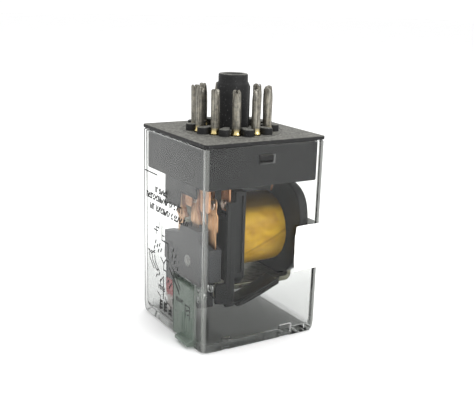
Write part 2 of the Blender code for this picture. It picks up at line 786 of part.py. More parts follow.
def build_moving_contact(number, y):
    """A double-headed button through the leaf."""
    low, high = LEAF_X[0] - 0.06, LEAF_X[1] + 0.06
    profile = [
        (0, low - 0.6),
        (CONTACT_R - 0.4, low - 0.56),
        (CONTACT_R, low - 0.35),
        (CONTACT_R, low),
        (CONTACT_SHANK_R, low),
        (CONTACT_SHANK_R, high),
        (CONTACT_R, high),
        (CONTACT_R, high + 0.35),
        (CONTACT_R - 0.4, high + 0.56),
        (0, high + 0.6),
    ]
    contact = turned(profile, "x", (0, y, CONTACT_Z), 16)
    solid("moving_contact_%d" % number, contact, "silver", HINGE, SMOOTH_TURNED)


def build_moving_parts():
    bore = rod(RIVET_R, "x", (-16, -8), (0, *RIVET_YZ))
    rivet_bore = cutter("rivet_bores", bore, HINGE)
    build_armature(rivet_bore)
    build_carrier(rivet_bore)
    build_rivet()
    for number, y in enumerate(ROW_Y, 1):
        build_moving_leaf(number, y)
        build_moving_contact(number, y)


# ---------------------------------------------------------------- fixed contacts and shield
def build_terminals():
    """Fixed contact strips hanging from the base, each with a button."""
    bottom, top = TERMINAL_Z
    for number, row_y in enumerate(ROW_Y, 1):
        for kind, strip_x, button_x, half, shift in TERMINALS:
            y = row_y + shift
            outline = [
                (y - half, bottom + 0.6), (y - half + 0.5, bottom),
                (y + half - 0.5, bottom), (y + half, bottom + 0.6),
                (y + half, top), (y - half, top),
            ]
            name = "%s_terminal_%d" % (kind, number)
            terminal = solid(name, prism(outline, "x", strip_x), "brass")
            button = rod(BUTTON_R, "x", button_x, (0, y, CONTACT_Z), steps=16)
            add(terminal, cutter("%s_button_%d" % (kind, number), button))


def build_shield():
    """Plate that hangs from the base on the -X side of the fixed strips."""
    outline = [
        (-9.0, 39.2), (-0.2, 39.2), (0.2, 35.3), (0.8, 34.8), (8.0, 34.4),
        (8.6, 35.0), (8.6, SHIELD_TOP), (-9.0, SHIELD_TOP),
    ]
    shield = solid("contact_shield", prism(outline, "x", SHIELD_X), "nylon")
    ribs = bmesh.new()
    for y in BETWEEN_ROWS:
        rib_y = (y - SHIELD_RIB_HALF, y + SHIELD_RIB_HALF)
        box(x=(-14.9, -13.2), y=rib_y, z=(43.2, SHIELD_TOP), bm=ribs)
    add(shield, cutter("shield_ribs", ribs))


# ---------------------------------------------------------------- leads and spring
def build_leads():
    top = TERMINAL_Z[1]
    # control points as (x, z)
    upper = [(-10.6, top), (-11.0, 46.5), (-12.6, 42.0)]
    row_end = [(-13.6, 37.4), (-13.0, 33.6), (-12.3, 32.1)]
    last_end = [(-13.3, 38.9), (-13.2, 36.4)]
    leads = [(y, row_end) for y in BETWEEN_ROWS] + [(LAST_LEAD_Y, last_end)]
    for number, (y, end) in enumerate(leads, 1):
        path = catmull([(x, y, z) for x, z in upper + end])
        lead = wire(path, LEAD_R, 8)
        solid("flexible_lead_%d" % number, lead, "copper", smooth=SMOOTH_WIRE)

    # control points as (x, share of the lead's full y, z)
    coil_path = [(11.7, 0.6, 37.6), (11.6, 0.8, 40.0), (11.2, 1, 44.0), (10.6, 1, top)]
    for number, y in enumerate((-COIL_LEAD_Y, COIL_LEAD_Y), 1):
        path = catmull([(x, y * share, z) for x, share, z in coil_path])
        lead = wire(path, COIL_LEAD_R, 6)
        solid("coil_lead_%d" % number, lead, "copper", smooth=SMOOTH_WIRE)


def build_spring():
    """Return spring coiled along X, beside the carrier's lower part on the -Y side."""
    y, z = SPRING_YZ
    start, end = SPRING_X
    path = [(-13.5, y, z - 0.2), (-13.5, y, z + 0.4)]
    count = SPRING_TURNS * SPRING_STEPS
    for i in range(count + 1):
        angle = 2 * math.pi * i / SPRING_STEPS + math.pi / 2
        x = start + (end - start) * i / count
        path.append((x, y - SPRING_R * math.cos(angle), z + SPRING_R * math.sin(angle)))
    path.append((-10.5, y, z + 0.4))
    solid("return_spring", wire(path, SPRING_WIRE_R, 6), "chrome", smooth=SMOOTH_WIRE)


# ---------------------------------------------------------------- test lever and flag
def build_lever():
    front, rear = LEVER_Y
    lever = solid("test_lever", box(x=LEVER_X, y=LEVER_Y, z=(0.6, 16.3)), "green", LEVER_ORIGIN)
    web = box(x=(LEVER_WALL_X, LEVER_AXIS[0]), y=(front + 0.05, rear - 0.05), z=(14.5, 15.9))
    barrel = rod(LEVER_BARREL_R, "y", LEVER_Y, LEVER_AXIS, steps=16)
    tab = [(-17.35, 0.62), (-19.45, 0.62), (-19.85, 1.0), (-19.85, 1.75), (-17.35, 2.4)]
    bore = rod(LEVER_BORE_R, "y", (-16.0, 1.0), LEVER_AXIS)
    add(
        lever,
        cutter("lever_web", web, LEVER_ORIGIN),
        cutter("lever_barrel", barrel, LEVER_ORIGIN),
        cutter("lever_tab", prism(tab, "y", TAB_Y), LEVER_ORIGIN),
    )
    cut(lever, cutter("lever_bore", bore, LEVER_ORIGIN))
    pin_y = (front - LEVER_PIN_OVERHANG, rear + LEVER_PIN_OVERHANG)
    pin = rod(LEVER_PIN_R, "y", pin_y, LEVER_AXIS)
    solid("lever_pin", pin, "chrome", smooth=SMOOTH_TURNED)


def build_flag():
    """Indicator flag, a plate above a round hub, and its pin."""
    _, y, z = FLAG_PIVOT
    outline = arc((y, z), 1.2, range(150, 391, 30))
    outline += [
        (y + 0.8, 7.4), (y + 2.0, 7.9), (y + 2.0, 13.1),
        (y - 2.0, 13.1), (y - 2.0, 7.9), (y - 0.8, 7.4),
    ]
    flag = solid("indicator_flag", prism(outline, "x", FLAG_X), "red", FLAG_PIVOT)
    bore = rod(FLAG_PIN_R + 0.1, "x", (-16.5, -13.5), FLAG_AXIS)
    cut(flag, cutter("flag_bore", bore, FLAG_PIVOT))
    pin = rod(FLAG_PIN_R, "x", (-15.6, -12.1), FLAG_AXIS)
    solid("flag_pin", pin, "chrome", smooth=SMOOTH_TURNED)


build_base()
build_pins()
build_cover()
build_seal()
build_frame()
build_bobbin()
build_winding()
build_core()
build_yoke()
build_moving_parts()
build_terminals()
build_shield()
build_leads()
build_spring()
build_lever()
build_flag()
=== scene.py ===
"""Looks of a plug-in changeover relay: eleven-pin base, clear cover, exposed coil and contacts.

The relay stands on its cover's closed end at z = 0 and its pins point along +Z. The test lever,
the flag and the contacts are towards -X, and the coil's axis runs along X. Lengths are
millimetres in the frame's own axes and become metres when a mesh is finished.
"""

import math
import random

import bmesh
import bpy
from mathutils import Matrix, Vector, noise


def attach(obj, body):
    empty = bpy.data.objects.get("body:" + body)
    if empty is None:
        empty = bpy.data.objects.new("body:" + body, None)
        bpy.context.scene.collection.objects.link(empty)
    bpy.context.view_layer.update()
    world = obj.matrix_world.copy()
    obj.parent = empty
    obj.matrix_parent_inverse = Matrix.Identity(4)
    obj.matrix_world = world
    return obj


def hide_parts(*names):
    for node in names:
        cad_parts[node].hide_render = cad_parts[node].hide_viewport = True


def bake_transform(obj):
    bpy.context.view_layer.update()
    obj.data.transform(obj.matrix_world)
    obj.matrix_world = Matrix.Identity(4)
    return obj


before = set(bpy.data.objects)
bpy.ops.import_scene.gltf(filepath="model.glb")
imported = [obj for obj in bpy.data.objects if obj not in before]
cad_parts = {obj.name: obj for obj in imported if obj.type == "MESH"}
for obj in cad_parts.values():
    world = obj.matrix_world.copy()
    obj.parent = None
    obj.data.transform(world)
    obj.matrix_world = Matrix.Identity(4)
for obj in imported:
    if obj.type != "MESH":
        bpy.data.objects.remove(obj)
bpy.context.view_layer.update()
MM = 0.001
BODY, ARM, LEVER, FLAG = "relay_body", "armature_body", "lever_body", "flag_body"

# ------------------------------------------------------------------ shared dimensions
FLANGE_WIDTH = 36.2
COVER_WIDTH_RIM, COVER_WIDTH_END, COVER_TOP = 36.1, 35.8, 53.7
COVER_CORNER_R = 1.3
SKIRT_HALF = 16.7
PINS, PIN_CIRCLE_R, PIN_R, PIN_TAIL_Z = 11, 9.82, 1.18, 50.3
POST_TOP = 70.0
COIL_Z = 27.0
COIL_CENTRE = (0, 0, COIL_Z)
FILM_START, FILM_LENGTH = -3.4, 15.7  # film's extent along X
LAP_ANGLE, LAP_SLANT = 215, 42  # degrees: upper lap's edge, and its drift over the film's length
ROW_Y = (-11.6, -3.5, 4.6)  # three rows of contacts
CONTACT_Z = 38.0
TERMINAL_TOP = 49.8
RIVET_CENTRE = (0, ROW_Y[1], 21.0)
RIVET_BORE_R = 1.1
RAIL_Y = (14.2, 15.5)
# x, z of the rail's lower edge
RAIL_PATH = ((-14.2, 13.5), (-12.4, 11.6), (-8.6, 10.2), (-4.8, 10.7), (0.2, 12.2), (6.8, 14.8))
LEVER_Y, LEVER_X, TAB_Y = (-12.9, -1.5), (-17.95, -16.65), (-12.9, -6.1)
LEVER_CENTRE = (-15.9, 0, 15.2)
LEVER_BORE_R = 0.5
FLAG_Y, FLAG_Z = 5.0, 5.2
FLAG_CENTRE = (0, FLAG_Y, FLAG_Z)


def cover_half(z):
    """Half the cover's tapering width at height z."""
    return (COVER_WIDTH_END + (COVER_WIDTH_RIM - COVER_WIDTH_END) * z / COVER_TOP) / 2


# ------------------------------------------------------------------ node helpers
def scaled(colour, factor):
    return tuple(c * factor for c in colour)


class Material:
    """Node tree of one material. Texture coordinates are object coordinates in millimetres."""

    def __init__(self, name):
        self.data = bpy.data.materials.new(name)
        self.data.use_nodes = True
        self.tree = self.data.node_tree
        self.tree.nodes.clear()
        self.here = self.coords()

    def node(self, kind, inputs=None, **props):
        """Makes a node, links or sets its inputs and returns its outputs."""
        made = self.tree.nodes.new("ShaderNode" + kind)
        for key, value in props.items():
            setattr(made, key, value)
        for key, value in (inputs or {}).items():
            socket = made.inputs[key]
            if isinstance(value, bpy.types.NodeSocket):
                self.tree.links.new(value, socket)
            elif isinstance(value, tuple) and socket.type == "RGBA":
                socket.default_value = (*value, 1.0)
            else:
                socket.default_value = value
        return made.outputs

    def vector_maths(self, operation, a, b):
        return self.node("VectorMath", {0: a, 1: b}, operation=operation)

    def coords(self, scale=(1.0, 1.0, 1.0)):
        place = self.node("TexCoord")["Object"]
        return self.vector_maths("MULTIPLY", place, scaled(scale, 1000.0))[0]

    def split(self, vector):
        return self.node("SeparateXYZ", {0: vector})

    def grain(self, scale, detail=3.0, rough=0.55, distortion=0.0, at=None):
        inputs = {"Vector": at or self.here, "Scale": scale, "Detail": detail}
        inputs |= {"Roughness": rough, "Distortion": distortion}
        return self.node("TexNoise", inputs)["Fac"]

    def bands(self, scale, distortion, detail, detail_scale=1.0):
        """Wave bands across X."""
        inputs = {"Vector": self.here, "Scale": scale, "Distortion": distortion}
        inputs |= {"Detail": detail, "Detail Scale": detail_scale}
        return self.node("TexWave", inputs, wave_type="BANDS", bands_direction="X")["Fac"]

    def ramp(self, value, *stops):
        """Colour ramp through (position, colour) stops."""
        outputs = self.node("ValToRGB", {"Fac": value})
        elements = outputs["Color"].node.color_ramp.elements
        for element, (position, colour) in zip(elements, (stops[0], stops[-1])):
            element.position = position
            element.color = (*colour, 1.0)
        for position, colour in stops[1:-1]:
            elements.new(position).color = (*colour, 1.0)
        return outputs["Color"]

    def remap(self, value, span, to=(0.0, 1.0)):
        """Carries value from the range span to the range to."""
        inputs = {"Value": value, "From Min": span[0], "From Max": span[1]}
        inputs |= {"To Min": to[0], "To Max": to[1]}
        return self.node("MapRange", inputs)["Result"]

    def maths(self, operation, a, b=0.0, clamp=False):
        return self.node("Math", {0: a, 1: b}, operation=operation, use_clamp=clamp)[0]

    def times(self, a, b):
        return self.maths("MULTIPLY", a, b)

    def plus(self, a, b, clamp=False):
        return self.maths("ADD", a, b, clamp)

    def minus(self, a, b):
        return self.maths("SUBTRACT", a, b)

    def size(self, a):
        return self.maths("ABSOLUTE", a)

    def blend(self, a, b, share):
        """Weighted sum with share of a and the rest of b."""
        return self.plus(self.times(a, share), self.times(b, round(1.0 - share, 6)))

    def mix(self, amount, a, b):
        return self.node("Mix", {0: amount, 6: a, 7: b}, data_type="RGBA")[2]

    def mix_shader(self, amount, a, b):
        return self.node("MixShader", {"Fac": amount, 1: a, 2: b})[0]

    def bump(self, height, strength, depth, under=None):
        """Bump of the given depth in millimetres, over the normal under."""
        inputs = {"Height": height, "Strength": strength, "Distance": depth * MM}
        if under is not None:
            inputs["Normal"] = under
        return self.node("Bump", inputs)["Normal"]

    def edge_wear(self, radius, span):
        """1 along hard edges, 0 on flat faces, from how far the rounded normal turns away."""
        true = self.node("NewGeometry")["Normal"]
        rounded_off = self.node("Bevel", {"Radius": radius * MM}, samples=4)["Normal"]
        dot = self.vector_maths("DOT_PRODUCT", true, rounded_off)["Value"]
        return self.remap(dot, span, to=(1.0, 0.0))

    def diffuse(self, colour):
        return self.node("BsdfDiffuse", {"Color": colour, "Roughness": 0.5})[0]

    def transparent(self, colour):
        return self.node("BsdfTransparent", {"Color": colour})[0]

    def principled(self, **inputs):
        named = {key.replace("_", " "): value for key, value in inputs.items()}
        return self.node("BsdfPrincipled", named)[0]

    def output(self, shader):
        self.node("OutputMaterial", {"Surface": shader})
        return self.data

    def surface(self, **inputs):
        return self.output(self.principled(**inputs))


# ------------------------------------------------------------------ materials
def moulded(name, base, light, rough, speck, wear, wear_colour, spec=0.2, dust_and_sheen=None):
    """Stippled plastic with pale specks, rubbed edges and, given its colour, dust with painted sheen on
    upward faces.
    """
    mat = Material(name)
    clouds = mat.grain(scale=0.35, detail=4.0, rough=0.6)
    stipple = mat.grain(scale=4.0, detail=2.0, rough=0.6)
    flecks = mat.grain(scale=2.3, detail=2.0, rough=0.6)
    tone = mat.ramp(clouds, (0.3, base), (0.75, light))
    spots = mat.remap(flecks, (0.64, 0.72), to=(0.0, speck))
    colour = mat.mix(spots, tone, tuple(min(1.0, c * 4.0 + 0.1) for c in light))
    edge = mat.edge_wear(radius=0.14, span=(0.93, 0.995))
    edge = mat.times(edge, mat.remap(flecks, (0.4, 0.62), to=(0.2 * wear, wear)))
    colour = mat.mix(edge, colour, wear_colour)
    # dust with painted sheen: upward faces take a mottled grey that stands for real dust and for the
    # sheen of the bright surroundings at a grazing view
    if dust_and_sheen:
        facing = mat.split(mat.node("NewGeometry")["Normal"])["Z"]
        up = mat.remap(facing, (0.55, 0.95))
        patch = mat.remap(mat.grain(scale=0.9, detail=6.0, rough=0.72), (0.34, 0.62), to=(0.55, 1.0))
        amount = mat.times(mat.times(up, patch), 0.95)
        mottle = mat.ramp(
            mat.grain(scale=1.9, detail=4.0, rough=0.75),
            (0.36, scaled(dust_and_sheen, 0.35)), (0.52, dust_and_sheen), (0.66, scaled(dust_and_sheen, 1.5)),
        )
        colour = mat.mix(amount, colour, mottle)
        roughness = mat.remap(up, (0.0, 1.0), to=(rough, 0.66))
    else:
        roughness = mat.remap(clouds, (0.3, 0.7), to=(rough - 0.08, rough + 0.1))
    return mat.surface(
        Base_Color=colour,
        Roughness=roughness,
        Specular_IOR_Level=spec,
        Normal=mat.bump(
            stipple, strength=0.05, depth=0.03, under=mat.bump(flecks, strength=0.05, depth=0.05)
        ),
    )


def metal(name, dark, light, rough, scale, stretch=(1.0, 1.0, 1.0), stain=None, stained=0.0, relief=0.3):
    """Metal with streaks, cloudy tarnish and, if given, a stain colour in patches."""
    mat = Material(name)
    streaks = mat.grain(scale=scale, detail=5.0, rough=0.65, distortion=0.4, at=mat.coords(stretch))
    clouds = mat.grain(scale=0.8, detail=4.0, rough=0.6)
    fine = mat.grain(scale=7.0, detail=3.0, rough=0.7)
    both = mat.blend(streaks, clouds, share=0.65)
    middle = tuple((a + b) / 2 for a, b in zip(dark, light))
    colour = mat.ramp(both, (0.34, dark), (0.5, middle), (0.66, light))
    if stain:
        patch = mat.remap(mat.blend(clouds, fine, share=0.6), (0.46, 0.6), to=(0.0, stained))
        colour = mat.mix(patch, colour, stain)
    return mat.surface(
        Base_Color=colour,
        Metallic=1.0,
        Roughness=mat.remap(both, (0.35, 0.65), to=(rough + 0.12, rough - 0.06)),
        Normal=mat.bump(
            both, strength=relief, depth=0.05, under=mat.bump(fine, strength=0.2, depth=0.02)
        ),
    )


def pin_material():
    """Nickel gone tan and grey in lengthwise streaks, bright brass low at the rolled eyelet."""
    mat = Material("tarnished_pin")
    # each pin's object colour moves its pattern, so that no two look alike
    own = mat.node("ObjectInfo")["Color"]
    shift = mat.vector_maths("MULTIPLY", own, (40.0, 40.0, 40.0))[0]
    lengthwise = mat.vector_maths("ADD", mat.coords((1.0, 1.0, 0.05)), shift)[0]
    streaks = mat.grain(scale=1.9, detail=3.0, rough=0.6, distortion=0.2, at=lengthwise)
    shifted = mat.vector_maths("ADD", mat.here, shift)[0]
    blotch = mat.grain(scale=1.1, detail=5.0, rough=0.7, at=shifted)
    both = mat.blend(streaks, blotch, share=0.6)
    nickel = mat.ramp(
        both,
        (0.34, (0.075, 0.07, 0.06)), (0.44, (0.15, 0.142, 0.123)), (0.53, (0.25, 0.24, 0.208)),
        (0.62, (0.38, 0.368, 0.325)), (0.7, (0.55, 0.54, 0.49)),
    )
    tan = mat.mix(mat.remap(blotch, (0.47, 0.64), to=(0.0, 0.3)), nickel, (0.28, 0.235, 0.15))
    z = mat.split(mat.here)["Z"]
    soot = mat.remap(z, (63.5, 66.9), to=(0.0, 0.5))
    soot = mat.times(soot, mat.remap(blotch, (0.4, 0.6), to=(0.3, 1.0)))
    tipped = mat.mix(soot, tan, (0.05, 0.047, 0.042))
    low = mat.remap(z, (56.9, 55.9))
    return mat.surface(
        Base_Color=mat.mix(low, tipped, (0.72, 0.58, 0.27)),
        Metallic=1.0,
        Roughness=mat.mix(low, mat.remap(both, (0.38, 0.66), to=(0.55, 0.26)), (0.2, 0.2, 0.2)),
        Normal=mat.bump(both, strength=0.55, depth=0.09),
    )


def tape_material():
    """Amber film over the coil: faint winding lines, darker laps, a soft sheen, painted shade underneath
    and a painted shadow of the skirt along its top.
    """
    mat = Material("amber_film")
    x, y, z = mat.split(mat.here)
    clouds = mat.grain(scale=0.42, detail=4.0, rough=0.6, at=mat.coords((0.6, 1.0, 1.0)))
    fibres = mat.grain(scale=1.3, detail=3.0, rough=0.6, at=mat.coords((5.0, 0.5, 0.5)))
    wires = mat.bands(scale=1.5, distortion=1.6, detail=2.0, detail_scale=0.6)
    colour = mat.ramp(
        clouds, (0.32, (0.5, 0.255, 0.005)), (0.5, (0.64, 0.355, 0.009)), (0.68, (0.78, 0.47, 0.022))
    )
    colour = mat.mix(mat.times(wires, 0.12), colour, (0.36, 0.19, 0.01))
    colour = mat.mix(mat.remap(fibres, (0.55, 0.75), to=(0.0, 0.14)), colour, (0.85, 0.64, 0.12))
    # painted shade: the film darkens towards its underside
    lower = mat.remap(z, (21.5, 18.0), to=(0.0, 0.75))
    colour = mat.mix(lower, colour, (0.17, 0.085, 0.012))
    # slanting edge of the upper lap: a thin line of shade and a slightly deeper tone past it
    around = mat.maths("ARCTAN2", mat.minus(z, COIL_Z), y)
    turned_on = mat.plus(mat.times(around, 57.29578), 360.0)  # radians to degrees
    degrees = mat.maths("MODULO", turned_on, 360.0)
    slant = mat.times(mat.plus(x, -FILM_START), LAP_SLANT / FILM_LENGTH)
    past = mat.minus(mat.plus(degrees, slant), LAP_ANGLE)
    colour = mat.mix(mat.remap(past, (-1.0, 1.0), to=(0.0, 0.22)), colour, (0.4, 0.225, 0.01))
    fade = mat.remap(past, (0.5, 3.5), to=(1.0, 0.0))
    line = mat.times(mat.remap(past, (-2.5, -0.5)), fade)
    colour = mat.mix(mat.times(line, 0.4), colour, (0.22, 0.11, 0.01))
    # painted shadow of the base's skirt over the top of the film
    upper = mat.remap(z, (32.9, 34.7), to=(0.0, 0.9))
    colour = mat.mix(upper, colour, (0.085, 0.05, 0.012))
    return mat.surface(
        Base_Color=colour,
        Roughness=mat.remap(clouds, (0.3, 0.7), to=(0.3, 0.46)),
        Specular_IOR_Level=0.3,
        Coat_Weight=0.12,
        Coat_Roughness=0.16,
        Subsurface_Weight=0.06,
        Subsurface_Scale=0.0006,
        Normal=mat.bump(
            fibres, strength=0.12, depth=0.05, under=mat.bump(clouds, strength=0.4, depth=0.25)
        ),
    )


def winding_material():
    """Enamelled copper wire: fine turns round the coil's axis, dark between them."""
    mat = Material("enamelled_wire")
    turns = mat.bands(scale=2.6, distortion=0.25, detail=1.0)
    clouds = mat.grain(scale=0.6, detail=3.0, rough=0.6)
    tone = mat.ramp(clouds, (0.3, (0.33, 0.13, 0.05)), (0.7, (0.55, 0.25, 0.11)))
    gaps = mat.remap(turns, (0.0, 0.45), to=(0.75, 0.0))
    return mat.surface(
        Base_Color=mat.mix(gaps, tone, (0.05, 0.018, 0.01)),
        Metallic=0.85,
        Roughness=mat.remap(clouds, (0.3, 0.7), to=(0.25, 0.4)),
        Normal=mat.bump(turns, strength=0.8, depth=0.08),
    )


def haze_and_corner_light(mat, x, y, smear):
    """How milky the cover looks: smears, scratches, edges and -X wall, with a painted light stripe down
    the upright corners.
    """
    haze = 0.01
    scratch = mat.grain(scale=1.8, detail=4.0, rough=0.7, at=mat.coords((6.0, 6.0, 0.3)))
    flecks = mat.grain(scale=2.6, detail=5.0, rough=0.8)
    specks = mat.remap(flecks, (0.68, 0.76), to=(0.0, 1.2))
    marks = mat.plus(mat.remap(smear, (0.52, 0.72)), specks, clamp=True)
    marks = mat.plus(marks, mat.remap(scratch, (0.66, 0.78), to=(0.0, 0.8)))
    edge = mat.edge_wear(radius=0.16, span=(0.9, 0.99))
    cloudy = mat.remap(smear, (0.35, 0.65), to=(0.6, 1.0))
    wall = mat.times(mat.remap(x, (-16.9, -17.3)), cloudy)
    # painted light: a pale stripe down each upright corner
    corner = mat.remap(least_offset(mat, x, y), (16.75, 17.15))
    amount = mat.times(marks, haze)
    amount = mat.plus(amount, mat.times(edge, haze * 3.0), clamp=True)
    amount = mat.plus(amount, mat.times(wall, 0.02), clamp=True)
    return mat.plus(amount, mat.times(corner, 0.2), clamp=True)


def least_offset(mat, x, y):
    """The lesser of |x| and |y|, which is large only near the upright corners."""
    return mat.maths("MINIMUM", mat.size(x), mat.size(y))


def opening_edges(mat, x, y):
    """1 on faces that look along Y near the lever's opening in the -X wall."""
    facing = mat.split(mat.node("NewGeometry")["True Normal"])["Y"]
    amount = mat.remap(mat.size(facing), (0.8, 0.95))
    amount = mat.times(amount, mat.remap(x, (-16.2, -16.5)))
    return mat.times(amount, mat.remap(mat.size(y), (16.0, 15.6)))


def painted_corner_shade(mat, x, y, smear):
    """Near 1 in the two upright corners where x and y have opposite signs, which take painted shade."""
    amount = mat.remap(least_offset(mat, x, y), (16.3, 16.7))
    amount = mat.times(amount, mat.remap(mat.times(x, y), (-100.0, -200.0)))
    return mat.times(amount, mat.remap(smear, (0.3, 0.7), to=(0.86, 1.0)))


def clear_material():
    """Clear plastic that refracts what is seen through it, and only dims light on its way in."""
    tint, through = (0.985, 0.99, 0.985), (0.82, 0.825, 0.82)
    mat = Material("clear_cover_plastic")
    stretched = mat.coords((1.0, 1.0, 0.35))
    smear = mat.grain(scale=0.5, detail=6.0, rough=0.7, distortion=0.6, at=stretched)
    x, y, z = mat.split(mat.here)
    # painted shade: greyer towards the closed end and most of all in the end plate
    low = mat.remap(z, (27.0, 14.0))
    plate = mat.remap(z, (2.6, 1.9))
    body = mat.mix(low, tint, scaled(tint, 0.885))
    body = mat.mix(plate, body, scaled(tint, 0.8))
    glass_inputs = {
        "Color": body,
        "Roughness": mat.remap(smear, (0.45, 0.8), to=(0.0, 0.03)),
        "IOR": 1.23,
        "Normal": mat.bump(smear, strength=0.02, depth=0.25),
    }
    glass = mat.node("BsdfGlass", glass_inputs)[0]
    haze_and_light_shader = mat.diffuse((0.62, 0.63, 0.6))
    seen = mat.mix_shader(haze_and_corner_light(mat, x, y, smear), glass, haze_and_light_shader)
    dull = mat.diffuse((0.17, 0.19, 0.172))
    seen = mat.mix_shader(mat.times(opening_edges(mat, x, y), 0.85), seen, dull)
    # painted shade down those two corners, darker on the -X corner than on the +X corner
    corner_shade_colour = mat.mix(mat.remap(x, (-1.0, 1.0)), (0.095, 0.098, 0.095), (0.25, 0.255, 0.245))
    corner_shade_amount = mat.times(painted_corner_shade(mat, x, y, smear), 0.95)
    seen = mat.mix_shader(corner_shade_amount, seen, mat.diffuse(corner_shade_colour))
    # painted shadow: light through the end plate is dimmed further, which darkens the floor under it
    clear = mat.transparent(mat.mix(plate, through, scaled(through, 0.6)))
    path = mat.node("LightPath")
    lighting = mat.maths("MAXIMUM", path["Is Shadow Ray"], path["Is Diffuse Ray"])
    return mat.output(mat.mix_shader(lighting, seen, clear))


def green_material():
    """Green translucent plastic with flow marks and rubbed edges."""
    mat = Material("green_tinted_plastic")
    stretched = mat.coords((1.0, 0.6, 0.25))
    flow = mat.grain(scale=0.8, detail=4.0, rough=0.6, distortion=0.8, at=stretched)
    fine = mat.grain(scale=6.0, detail=3.0, rough=0.6)
    tone = mat.ramp(flow, (0.3, (0.15, 0.182, 0.155)), (0.7, (0.23, 0.27, 0.236)))
    edge = mat.edge_wear(radius=0.18, span=(0.9, 0.99))
    solid = mat.principled(
        Base_Color=mat.mix(mat.times(edge, 0.45), tone, (0.3, 0.42, 0.34)),
        Roughness=mat.remap(fine, (0.3, 0.7), to=(0.18, 0.34)),
        Specular_IOR_Level=0.4,
        Normal=mat.bump(flow, strength=0.2, depth=0.12),
    )
    return mat.output(mat.mix_shader(0.4, solid, mat.transparent((0.62, 0.7, 0.65))))


def paper_material():
    """Matt white paper with faint fibres, slight soiling and a faint painted glow."""
    mat = Material("white_seal_paper")
    fibre = mat.grain(scale=5.0, detail=5.0, rough=0.7)
    soil = mat.grain(scale=0.5, detail=4.0, rough=0.6)
    colour = mat.ramp(fibre, (0.3, (0.93, 0.93, 0.92)), (0.7, (0.99, 0.99, 0.985)))
    return mat.surface(
        Base_Color=mat.mix(
            mat.remap(soil, (0.62, 0.8), to=(0.0, 0.12)), colour, (0.82, 0.81, 0.77)
        ),
        Roughness=mat.remap(fibre, (0.3, 0.7), to=(0.6, 0.78)),
        # painted light: a faint glow keeps the paper white
        Emission_Color=(1.0, 1.0, 1.0),
        Emission_Strength=0.12,
        Normal=mat.bump(fibre, strength=0.15, depth=0.03),
    )


def flag_material():
    """Red plastic with a pale lower part and a ragged border between them."""
    mat = Material("red_indicator_plastic")
    blot = mat.grain(scale=1.3, detail=4.0, rough=0.65)
    red = mat.ramp(blot, (0.35, (0.3, 0.02, 0.028)), (0.65, (0.55, 0.07, 0.08)))
    border = mat.plus(mat.split(mat.here)["Z"], mat.times(blot, 2.4))
    return mat.surface(
        Base_Color=mat.mix(mat.remap(border, (10.3, 9.3)), red, (0.62, 0.56, 0.54)),
        Roughness=mat.remap(blot, (0.3, 0.7), to=(0.3, 0.5)),
        Specular_IOR_Level=0.4,
        Normal=mat.bump(blot, strength=0.15, depth=0.05),
    )


def ink_material():
    mat = Material("black_print")
    worn = mat.grain(scale=2.2, detail=5.0, rough=0.75)
    return mat.surface(
        Base_Color=mat.ramp(worn, (0.35, (0.008, 0.008, 0.008)), (0.7, (0.03, 0.03, 0.03))),
        Roughness=mat.remap(worn, (0.3, 0.7), to=(0.5, 0.75)),
        Specular_IOR_Level=0.25,
        Normal=mat.bump(worn, strength=0.2, depth=0.02),
    )


def floor_material():
    mat = Material("white_table")
    tone = mat.grain(scale=0.02, detail=3.0)
    return mat.surface(
        Base_Color=mat.ramp(tone, (0.3, (0.93, 0.93, 0.93)), (0.7, (0.95, 0.95, 0.95))),
        Roughness=0.75,
        Specular_IOR_Level=0.15,
    )


